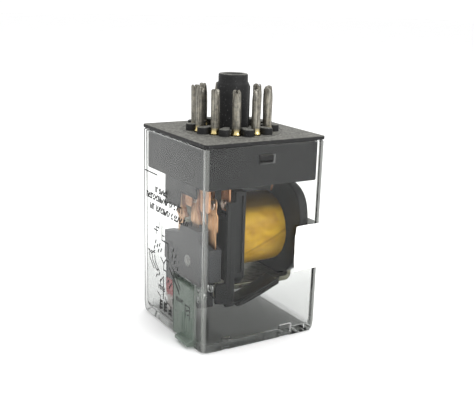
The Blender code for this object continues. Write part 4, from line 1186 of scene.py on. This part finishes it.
def make_bobbin():
    outline = [
        (-14.3, 18.2), (-12.4, 15.8), (12.4, 15.8), (14.3, 18.2), (14.3, 41.6), (-14.3, 41.6),
    ]
    bobbin = rounded(
        prism(outline, "x", (-7.0, -3.8)), 0.3, segments=3, mat="nylon", name="coil_bobbin"
    )
    tube_wall = temp(rod(5.0, (-6.5, 13.4), "x", COIL_CENTRE, steps=64))
    bore = temp(rod(4.3, (-9, 15), "x", COIL_CENTRE, steps=64))
    notch = temp(box(x=(11, 16.5), y=(-8.8, 8.8), z=(5, 14.2)))
    pocket = temp(box(x=(14.0, 17), y=(-8.8, 8.8), z=(5, 36.3)))
    recess = rounded(box(x=(-7.6, -5.2), y=(-11.2, 11.2), z=(33.6, 39.6)), 0.35, segments=3)
    # grooves in the -X flange's side edges leave two ribs with a web between
    shape = bmesh.new()
    for side in (-1, 1):
        box(x=(-6.1, -4.7), y=sorted((side * 13.75, side * 16)), z=(19.5, 40.4), into=shape)
    grooves = rounded(shape, 0.12)
    step = [(0, 12.0), (10.6, 12.0), (10.6, 12.9), (10.4, 13.1), (0, 13.1)]
    add(bobbin, tube_wall, far_flange(), smooth=None)
    step = temp(turned(step, "x", COIL_CENTRE, steps=96))
    cut(bobbin, bore, notch, pocket, recess, grooves, step)
    place(bobbin, BODY, "frame_plastic", "bobbin")


def make_winding():
    """One turned body with a bead for every visible turn."""
    inner_r, wire_r, start, end = 5.3, 8.95, -3.5, 12.3
    turns, pitch = 52, 0.3
    bead = ((0.0, 0.0), (0.25, 0.09), (0.5, 0.13), (0.75, 0.09))  # share of the pitch, height
    profile = [(inner_r, start)]
    for i in range(turns):
        x = start + pitch * i
        uneven = 0.06 * noise.noise(Vector((x * 0.6, 0, 3)))
        profile += [(wire_r + height + uneven, x + pitch * share) for share, height in bead]
    profile += [(wire_r, end), (inner_r, end)]
    shape = turned(profile, "x", COIL_CENTRE, steps=64, closed=True)
    winding = finish("coil_wire_winding", shape, "winding", 60)
    place(winding, BODY, "winding_copper", "coil_winding")


def lap(turn, reach, rise, thickness):
    """Added thickness of a lap that spans reach degrees and rises over its first degrees."""
    return thickness * min(1.0, turn / rise) * min(1.0, max(0.0, reach - turn) / 2.0)


def film_radius(s, turn):
    """Outer radius of the film at share s of its length, with laps, dents and a frilled rim."""
    x = FILM_START + FILM_LENGTH * s
    y, z = math.cos(turn), math.sin(turn)
    degrees = math.degrees(turn)
    laps = lap((degrees - LAP_ANGLE + LAP_SLANT * s) % 360, reach=150, rise=2.0, thickness=0.16)
    laps += lap((degrees - 178 - 30 * s) % 360, reach=120, rise=1.6, thickness=0.1)
    dent = 0.13 * noise.noise(Vector((x * 0.16, y * 1.9, z * 1.9)))
    dent += 0.045 * noise.noise(Vector((x * 0.55, y * 6, z * 6)))
    near_end = max(0.0, 1 - s * 22) + max(0.0, 1 - (1 - s) * 22)
    rim = 0.12 * near_end * (0.4 + noise.noise(Vector((s * 3, y * 5, z * 5))))
    crown = -0.2 * (2 * abs(s - 0.5)) ** 6
    return min(10.02, 9.84 + laps * 0.75 + dent * 0.7 + rim + crown - 0.08)


def make_film():
    along, around, inner_r = 62, 200, 9.28
    outside, inside = [], []
    for i in range(along + 1):
        s = i / along
        x = FILM_START + FILM_LENGTH * s
        outer, inner = [], []
        for k in range(around):
            turn = 2 * math.pi * k / around
            y, z = math.cos(turn), math.sin(turn)
            r = film_radius(s, turn)
            outer.append((x, r * y, COIL_Z + r * z))
            inner.append((x, inner_r * y, COIL_Z + inner_r * z))
        outside.append(outer)
        inside.append(inner)
    film = finish("coil_film_wrap", loft(outside + inside[::-1], closed=True), "tape", 38)
    place(film, BODY, "amber_tape", "insulation_tape")


CORE_PROFILE = [  # radius, x
    (0, -7.7), (2.0, -7.7), (2.2, -7.62), (2.2, -6.1), (3.4, -6.1), (3.4, -7.62), (3.55, -7.7),
    (3.85, -7.7), (4.0, -7.55), (4.0, 13.9), (3.9, 14.0), (2.5, 14.0), (2.5, 15.3), (2.35, 15.45),
    (0, 15.45),
]
SHADING_RING_SECTION = [  # radius, x
    (2.35, -7.66), (2.45, -7.76), (3.15, -7.76), (3.25, -7.66), (3.25, -6.3), (2.35, -6.3),
]


def make_core():
    shape = turned(CORE_PROFILE, "x", COIL_CENTRE, steps=64)
    place(finish("coil_iron_core", shape, "iron"), BODY, "magnetic_steel", "iron_core")
    shape = turned(SHADING_RING_SECTION, "x", COIL_CENTRE, steps=64, closed=True)
    ring = finish("copper_shading_ring", shape, "copper", 40)
    place(ring, BODY, "winding_copper", "shading_ring")


# ------------------------------------------------------------------ yoke and armature
def make_yoke():
    """L-shaped strip below the coil and up past its +X end."""
    low, high, left, right, end_x, top = 12.5, 13.9, 14.3, 15.5, -8.5, 36.0
    outline = [(end_x, low)] + arc((right - 2.0, low + 2.0), 2.0, range(-90, 1, 9))
    outline += [(right, top), (left, top)]
    outline += arc((left - 0.8, high + 0.8), 0.8, range(0, -91, -15)) + [(end_x, high)]
    shape = prism(outline, "y", (-8.5, 8.5))
    yoke = rounded(shape, 0.14, angle=50, mat="steel", name="magnet_yoke")
    cut(yoke, temp(rod(2.8, (12, 17), "x", COIL_CENTRE, steps=48)))
    place(yoke, BODY, "magnetic_steel", "yoke")


def rivet_bore():
    return temp(rod(RIVET_BORE_R, (-16, -8), "x", RIVET_CENTRE))


def make_armature():
    outline = [(-8.2, 11.4), (-8.2, 31.4), (-6.0, 33.6), (6.0, 33.6), (8.2, 31.4), (8.2, 11.4)]
    shape = prism(outline, "x", (-10.3, -9.0))
    armature = rounded(shape, 0.14, mat="steel", name="rocking_armature")
    cut(armature, rivet_bore())
    place(armature, ARM, "magnetic_steel", "armature")


# ------------------------------------------------------------------ contact carrier and leaves
CARRIER_OUTLINE = [  # y, z
    (-10.1, 9.5), (9.6, 9.5), (9.6, 17.8), (12.3, 17.8), (12.3, 25.1), (11.8, 25.6), (1.9, 27.7),
    (1.1, 30.3), (-8.4, 30.3), (-9.2, 27.6), (-13.9, 26.6), (-13.9, 17.8), (-10.1, 17.8),
]
BOSS_PROFILE = [(0, -14.32), (0.95, -14.32), (1.15, -14.12), (1.15, -13.6), (0, -13.6)]
RIVET_PROFILE = [  # radius, x
    (0, -14.74), (0.45, -14.73), (0.95, -14.66), (1.4, -14.5), (1.62, -14.33), (1.65, -14.27),
    (1.6, -14.25), (0.8, -14.25), (0.8, -9.0), (0, -9.0),
]
LEAF_HALF = (  # distance from the leaf's middle, z, going up
    (1.6, 23.6), (1.6, 30.9), (2.4, 31.4), (2.4, 35.2), (1.7, 36.4), (1.7, 39.2), (1.1, 39.9),
)
LEAF_HEAD = [  # radius, height of a contact's head above the leaf
    (0, 0.6), (0.4, 0.595), (0.8, 0.56), (1.1, 0.45), (1.27, 0.3), (1.3, 0.15), (1.27, 0), (0.6, 0),
]


def make_carrier():
    shape = prism(CARRIER_OUTLINE, "x", (-14.2, -10.6))
    carrier = rounded(shape, 0.24, segments=3, mat="grey", name="leaf_carrier")
    grooves, bosses = bmesh.new(), bmesh.new()
    for y in ROW_Y:
        box(x=(-12.6, -11.45), y=(y - 1.9, y + 1.9), z=(23.2, 31.3), into=grooves)
    for y, z in ((-11.4, 20.4), (6.2, 20.8), (-11.4, 24.6)):
        turned(BOSS_PROFILE, "x", (0, y, z), steps=32, into=bosses)
    relief = temp(box(x=(-11.9, -9.0), y=(-8.6, 8.6), z=(8.0, 16.4)))
    chamfer = temp(prism([(-14.6, 9.4), (-14.6, 14.6), (-12.2, 14.6)], "z", (8.0, 32.0)))
    panel = rounded(box(x=(-15.0, -14.02), y=(-9.3, 8.8), z=(10.4, 16.6)), 0.1)
    add(carrier, temp(bosses, "grey"), smooth=None)
    cut(carrier, temp(grooves), relief, chamfer, panel, rivet_bore())
    place(carrier, ARM, "carrier_plastic", "contact_carrier")
    shape = turned(RIVET_PROFILE, "x", RIVET_CENTRE, steps=48)
    rivet = finish("rivet_of_carrier", shape, "rivet", 45)
    place(rivet, ARM, "magnetic_steel", "carrier_rivet")


def make_leaf(number, y):
    """Moving leaf with a rib up its middle and the contact riveted through it."""
    right = [(y + across, z) for across, z in LEAF_HALF]
    left = [(y - across, z) for across, z in LEAF_HALF]
    shape = prism([left[0]] + right + left[:0:-1], "x", (-12.2, -11.85))
    leaf = rounded(shape, 0.07, mat="bronze", name="leaf_spring_%d" % number)
    rib = box(x=(-12.36, -12.0), y=(y - 0.45, y + 0.45), z=(31.2, 35.4))
    add(leaf, rounded(rib, 0.12, segments=3, mat="bronze"), smooth=None)
    centre = (0, y, CONTACT_Z)
    cut(leaf, temp(rod(0.8, (-13.5, -10.5), "x", centre)))
    place(leaf, ARM, "spring_bronze", "moving_leaf_%d" % number)
    profile = [(radius, -12.26 - height) for radius, height in LEAF_HEAD]
    profile += [(radius, -11.79 + height) for radius, height in reversed(LEAF_HEAD)]
    shape = turned(profile, "x", centre, steps=48)
    contact = finish("contact_rivet_%d" % number, shape, "silver", 45)
    place(contact, ARM, "contact_silver", "moving_contact_%d" % number)


# ------------------------------------------------------------------ fixed contacts and shield
# kind, strip's x span, x of the button's back and front, x span of the rib, half width, y shift
TERMINALS = (
    ("nc", (-14.35, -13.85), (-14.0, -13.1), (-14.05, -13.75), 1.8, 0.0),
    ("no", (-8.75, -8.25), (-8.6, -9.5), (-8.85, -8.55), 2.0, -0.3),
)
BUTTON_R = 1.25
# radius, depth behind the button's front
BUTTON_FRONT = ((BUTTON_R, 0.3), (1.18, 0.12), (0.95, 0.02), (0.6, 0.0), (0, 0.0))


def button_profile(back, front):
    """Rises towards +X, whichever way the button faces."""
    sign = 1 if front > back else -1
    profile = [(0, back), (BUTTON_R, back)]
    profile += [(radius, front - sign * depth) for radius, depth in BUTTON_FRONT]
    return profile[::sign]


def make_terminal(number, row_y, kind, strip, button, rib_x, w, shift):
    y = row_y + shift
    outline = [(y - w, 36.8), (y - w + 0.5, 36.2), (y + w - 0.5, 36.2), (y + w, 36.8)]
    outline += [(y + w, TERMINAL_TOP), (y - w, TERMINAL_TOP)]
    name = "fixed_%s_strip_%d" % (kind, number)
    terminal = rounded(prism(outline, "x", strip), 0.08, mat="copper", name=name)
    shape = turned(button_profile(*button), "x", (0, y, CONTACT_Z), steps=48)
    contact = temp(shape, "silver")
    # the second slot takes the button's silver
    terminal.data.materials.append(MATERIALS["silver"])
    rib = rounded(box(x=rib_x, y=(y - 0.4, y + 0.4), z=(40.6, 48.8)), 0.08, mat="copper")
    add(terminal, rib, contact)
    place(terminal, BODY, "terminal_brass", "%s_terminal_%d" % (kind, number))


def make_shield():
    """Plate on the -X side of the fixed strips, with ribs behind it and lips on its -X face."""
    outline = [
        (-9.0, 39.2), (-0.2, 39.2), (0.2, 35.3), (0.8, 34.8),
        (8.0, 34.4), (8.6, 35.0), (8.6, 49.6), (-9.0, 49.6),
    ]
    shape = prism(outline, "x", (-15.15, -14.65))
    shield = rounded(shape, 0.14, segments=3, mat="nylon", name="strip_shield")
    ribs, lips = bmesh.new(), bmesh.new()
    for y in (-7.55, 0.55):
        box(x=(-14.9, -13.2), y=(y - 0.35, y + 0.35), z=(43.2, 49.6), into=ribs)
    box(x=(-15.3, -15.0), y=(-8.8, -0.4), z=(39.4, 39.9), into=lips)
    box(x=(-15.3, -15.0), y=(1.0, 8.3), z=(35.1, 35.6), into=lips)
    add(shield, rounded(ribs, 0.12, mat="nylon"), rounded(lips, 0.1, mat="nylon"))
    place(shield, BODY, "frame_plastic", "contact_shield")


def make_contacts():
    for k, y in enumerate(ROW_Y):
        make_leaf(k + 1, y)
    for k, y in enumerate(ROW_Y):
        for terminal in TERMINALS:
            make_terminal(k + 1, y, *terminal)


# ------------------------------------------------------------------ wires and return spring
def braid(path, seed):
    """Six loose strands twisted five turns round a seventh."""
    shape = bmesh.new()
    last = len(path) - 1
    for strand in range(7):
        line = []
        for i, point in enumerate(path):
            if strand == 6:
                line.append(point)
                continue
            along = (path[min(i + 1, last)] - path[max(i - 1, 0)]).normalized()
            normal = Vector((0.0, 1.0, 0.0))
            across = (normal - along * normal.dot(along)).normalized()
            side = along.cross(across)
            turn = 2 * math.pi * (strand / 6 + i / last * 5.0)
            loose = 0.33 + 0.05 * noise.noise(Vector((i * 0.2, strand * 5.0, seed * 3.0)))
            line.append(point + loose * (math.cos(turn) * across + math.sin(turn) * side))
        tube(line, 0.18, 8, shape)
    return shape


def make_leads():
    for k, y in enumerate((-7.55, 0.55, 8.0)):
        path = [(-10.6, y, TERMINAL_TOP), (-11.0, y, 46.5), (-12.6, y, 42.0)]
        if k < 2:
            path += [(-13.6, y, 37.4), (-13.0, y, 33.6), (-12.3, y, 32.1)]
        else:
            path += [(-13.3, y, 38.9), (-13.2, y, 36.4)]
        lead = finish("braided_lead_%d" % (k + 1), braid(catmull(path, 14), k), "braid", 60)
        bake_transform(lead)
        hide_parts("flexible_lead_%d" % (k + 1))
    for k, y in enumerate((-4.2, 4.2)):
        path = [(11.7, y * 0.6, 37.6), (11.6, y * 0.8, 40.0), (11.2, y, 44.0)]
        path = catmull(path + [(10.6, y, TERMINAL_TOP)], 14)
        shape = tube(path, lambda s: 0.27 + 0.02 * math.sin(s * 40), 16)
        wire = finish("coil_end_wire_%d" % (k + 1), shape, "braid", 60)
        place(wire, BODY, "winding_copper", "coil_lead_%d" % (k + 1))


def make_spring():
    """Helical spring along X with a short straight end at each side."""
    y, z, radius, turns, per_turn = -12.35, 15.9, 0.95, 3, 36
    steps = turns * per_turn
    path = [Vector((-13.5, y, z - 0.2)), Vector((-13.5, y, z + 0.2))]
    for i in range(steps + 1):
        turn = 2 * math.pi * i / per_turn + math.pi / 2
        spot = (-13.4 + 2.5 * i / steps, y - radius * math.cos(turn), z + radius * math.sin(turn))
        path.append(Vector(spot))
    path.append(Vector((-10.5, y, z + 0.4)))
    spring = finish("coil_return_spring", tube(path, 0.2, 12), "chrome", 60)
    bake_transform(spring)
    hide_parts("return_spring")


# ------------------------------------------------------------------ test lever and flag
def make_lever():
    y0, y1 = LEVER_Y
    shape = box(x=LEVER_X, y=LEVER_Y, z=(0.6, 16.3))
    lever = rounded(shape, 0.26, segments=3, mat="green", name="push_to_test_lever")
    web = box(x=(-17.15, LEVER_CENTRE[0]), y=(y0 + 0.05, y1 - 0.05), z=(14.5, 15.9))
    barrel = chamfered_rod(0.8, LEVER_Y, "y", LEVER_CENTRE, steps=40)
    tab = [(-17.35, 0.62), (-19.45, 0.62), (-19.85, 1.0), (-19.85, 1.75), (-17.35, 2.4)]
    grips = bmesh.new()
    for i in range(5):
        y = TAB_Y[0] + 0.9 + i * 1.25
        box(x=(-18.12, -17.75), y=(y, y + 0.45), z=(3.0, 8.2), into=grips)
    hollow = rounded(box(x=(-17.3, -15.5), y=(y0 + 1.0, y1 - 1.0), z=(2.6, 13.2)), 0.2)
    add(
        lever,
        temp(web, "green"),
        temp(barrel, "green"),
        rounded(prism(tab, "y", TAB_Y), 0.2, segments=3, mat="green"),
        rounded(grips, 0.12, mat="green"),
        smooth=None,
    )
    cut(lever, hollow, temp(rod(LEVER_BORE_R, (-16.0, 1.0), "y", LEVER_CENTRE, steps=24)))
    place(lever, LEVER, "lever_green", "test_lever")
    shape = chamfered_rod(0.4, (y0 - 1.6, y1 + 1.6), "y", LEVER_CENTRE, steps=32)
    place(finish("lever_hinge_pin", shape, "chrome"), BODY, "spring_steel", "lever_pin")


def make_flag():
    y = FLAG_Y
    outline = arc((y, FLAG_Z), 1.2, range(150, 391, 12))
    outline += [(y + 0.8, 7.4), (y + 2.0, 7.9), (y + 2.0, 13.1)]
    outline += [(y - 2.0, 13.1), (y - 2.0, 7.9), (y - 0.8, 7.4)]
    shape = prism(outline, "x", (-15.35, -14.75))
    flag = rounded(shape, 0.1, angle=40, mat="red", name="red_flag")
    cut(flag, temp(rod(0.55, (-16.5, -13.5), "x", FLAG_CENTRE, steps=24)))
    place(flag, FLAG, "flag_red", "indicator_flag")
    profile = [(0, -15.6), (0.35, -15.6), (0.45, -15.5), (0.45, -12.1), (0, -12.1)]
    axle = finish("flag_axle", turned(profile, "x", FLAG_CENTRE, steps=32), "chrome")
    place(axle, BODY, "spring_steel", "flag_pin")


make_base()
make_pins()
make_cover()
make_print()
make_seal()
make_frame()
make_bobbin()
make_winding()
make_film()
make_core()
make_yoke()
make_armature()
make_carrier()
make_contacts()
make_shield()
make_leads()
make_spring()
make_lever()
make_flag()

# ------------------------------------------------------------------ floor, light and camera
scene = bpy.context.scene


def make_world():
    world = bpy.data.worlds.new("studio")
    scene.world = world
    world.use_nodes = True
    background = world.node_tree.nodes["Background"].inputs
    background["Color"].default_value = (1.0, 1.0, 1.0, 1.0)
    background["Strength"].default_value = 1.06


def make_floor():
    shape = bmesh.new()
    bmesh.ops.create_grid(shape, x_segments=2, y_segments=2, size=3000.0)
    floor = finish("studio_floor", shape, "floor", None)
    floor.location.z = -0.00005  # just below the cover's closed end


def area(name, at, target, size, power):
    """White rectangular light; places and sizes in metres, power in watts."""
    data = bpy.data.lights.new(name, "AREA")
    data.shape = "RECTANGLE"
    data.size, data.size_y = size
    data.energy = power
    lamp = bpy.data.objects.new(name, data)
    lamp.location = at
    lamp.rotation_mode = "QUATERNION"
    lamp.rotation_quaternion = (Vector(target) - Vector(at)).to_track_quat("-Z", "Y")
    scene.collection.objects.link(lamp)


def make_camera():
    azimuth, elevation, roll = (math.radians(angle) for angle in (-31.72, 14.83, -1.72))
    origin_in_view = Vector((-2.99, -32.47, -228.42)) * MM  # frame's origin in camera axes
    level = math.cos(elevation)
    back = Vector((math.sin(azimuth) * level, -math.cos(azimuth) * level, math.sin(elevation)))
    right = Vector((math.cos(azimuth), math.sin(azimuth), 0.0))
    up = back.cross(right)
    side = right * math.cos(roll) - up * math.sin(roll)
    top = right * math.sin(roll) + up * math.cos(roll)
    eye = -(side * origin_in_view.x + top * origin_in_view.y + back * origin_in_view.z)
    data = bpy.data.cameras.new("photo_camera")
    data.sensor_width = 36.0
    data.lens = 60.382785
    data.clip_start, data.clip_end = 0.01, 20.0
    camera = bpy.data.objects.new("photo_camera", data)
    rotation = Matrix((side, top, back)).transposed().to_4x4()
    camera.matrix_world = Matrix.Translation(eye) @ rotation
    scene.collection.objects.link(camera)
    scene.camera = camera


make_world()
make_floor()
area("soft_overhead", at=(0.10, 0.05, 0.62), target=(0.0, 0.0, 0.02), size=(0.5, 0.4), power=2.2)
area("soft_front", at=(0.12, -0.55, 0.32), target=(0.0, 0.0, 0.03), size=(0.3, 0.3), power=1.6)
make_camera()
scene.view_settings.view_transform = "Standard"
# the settings exist only where the Cycles add-on is enabled
if hasattr(scene, "cycles"):
    # light crosses up to eight faces of the clear cover before it reaches the parts inside
    scene.cycles.max_bounces = 28
    scene.cycles.transmission_bounces = 24
    scene.cycles.glossy_bounces = 12
    scene.cycles.transparent_max_bounces = 28
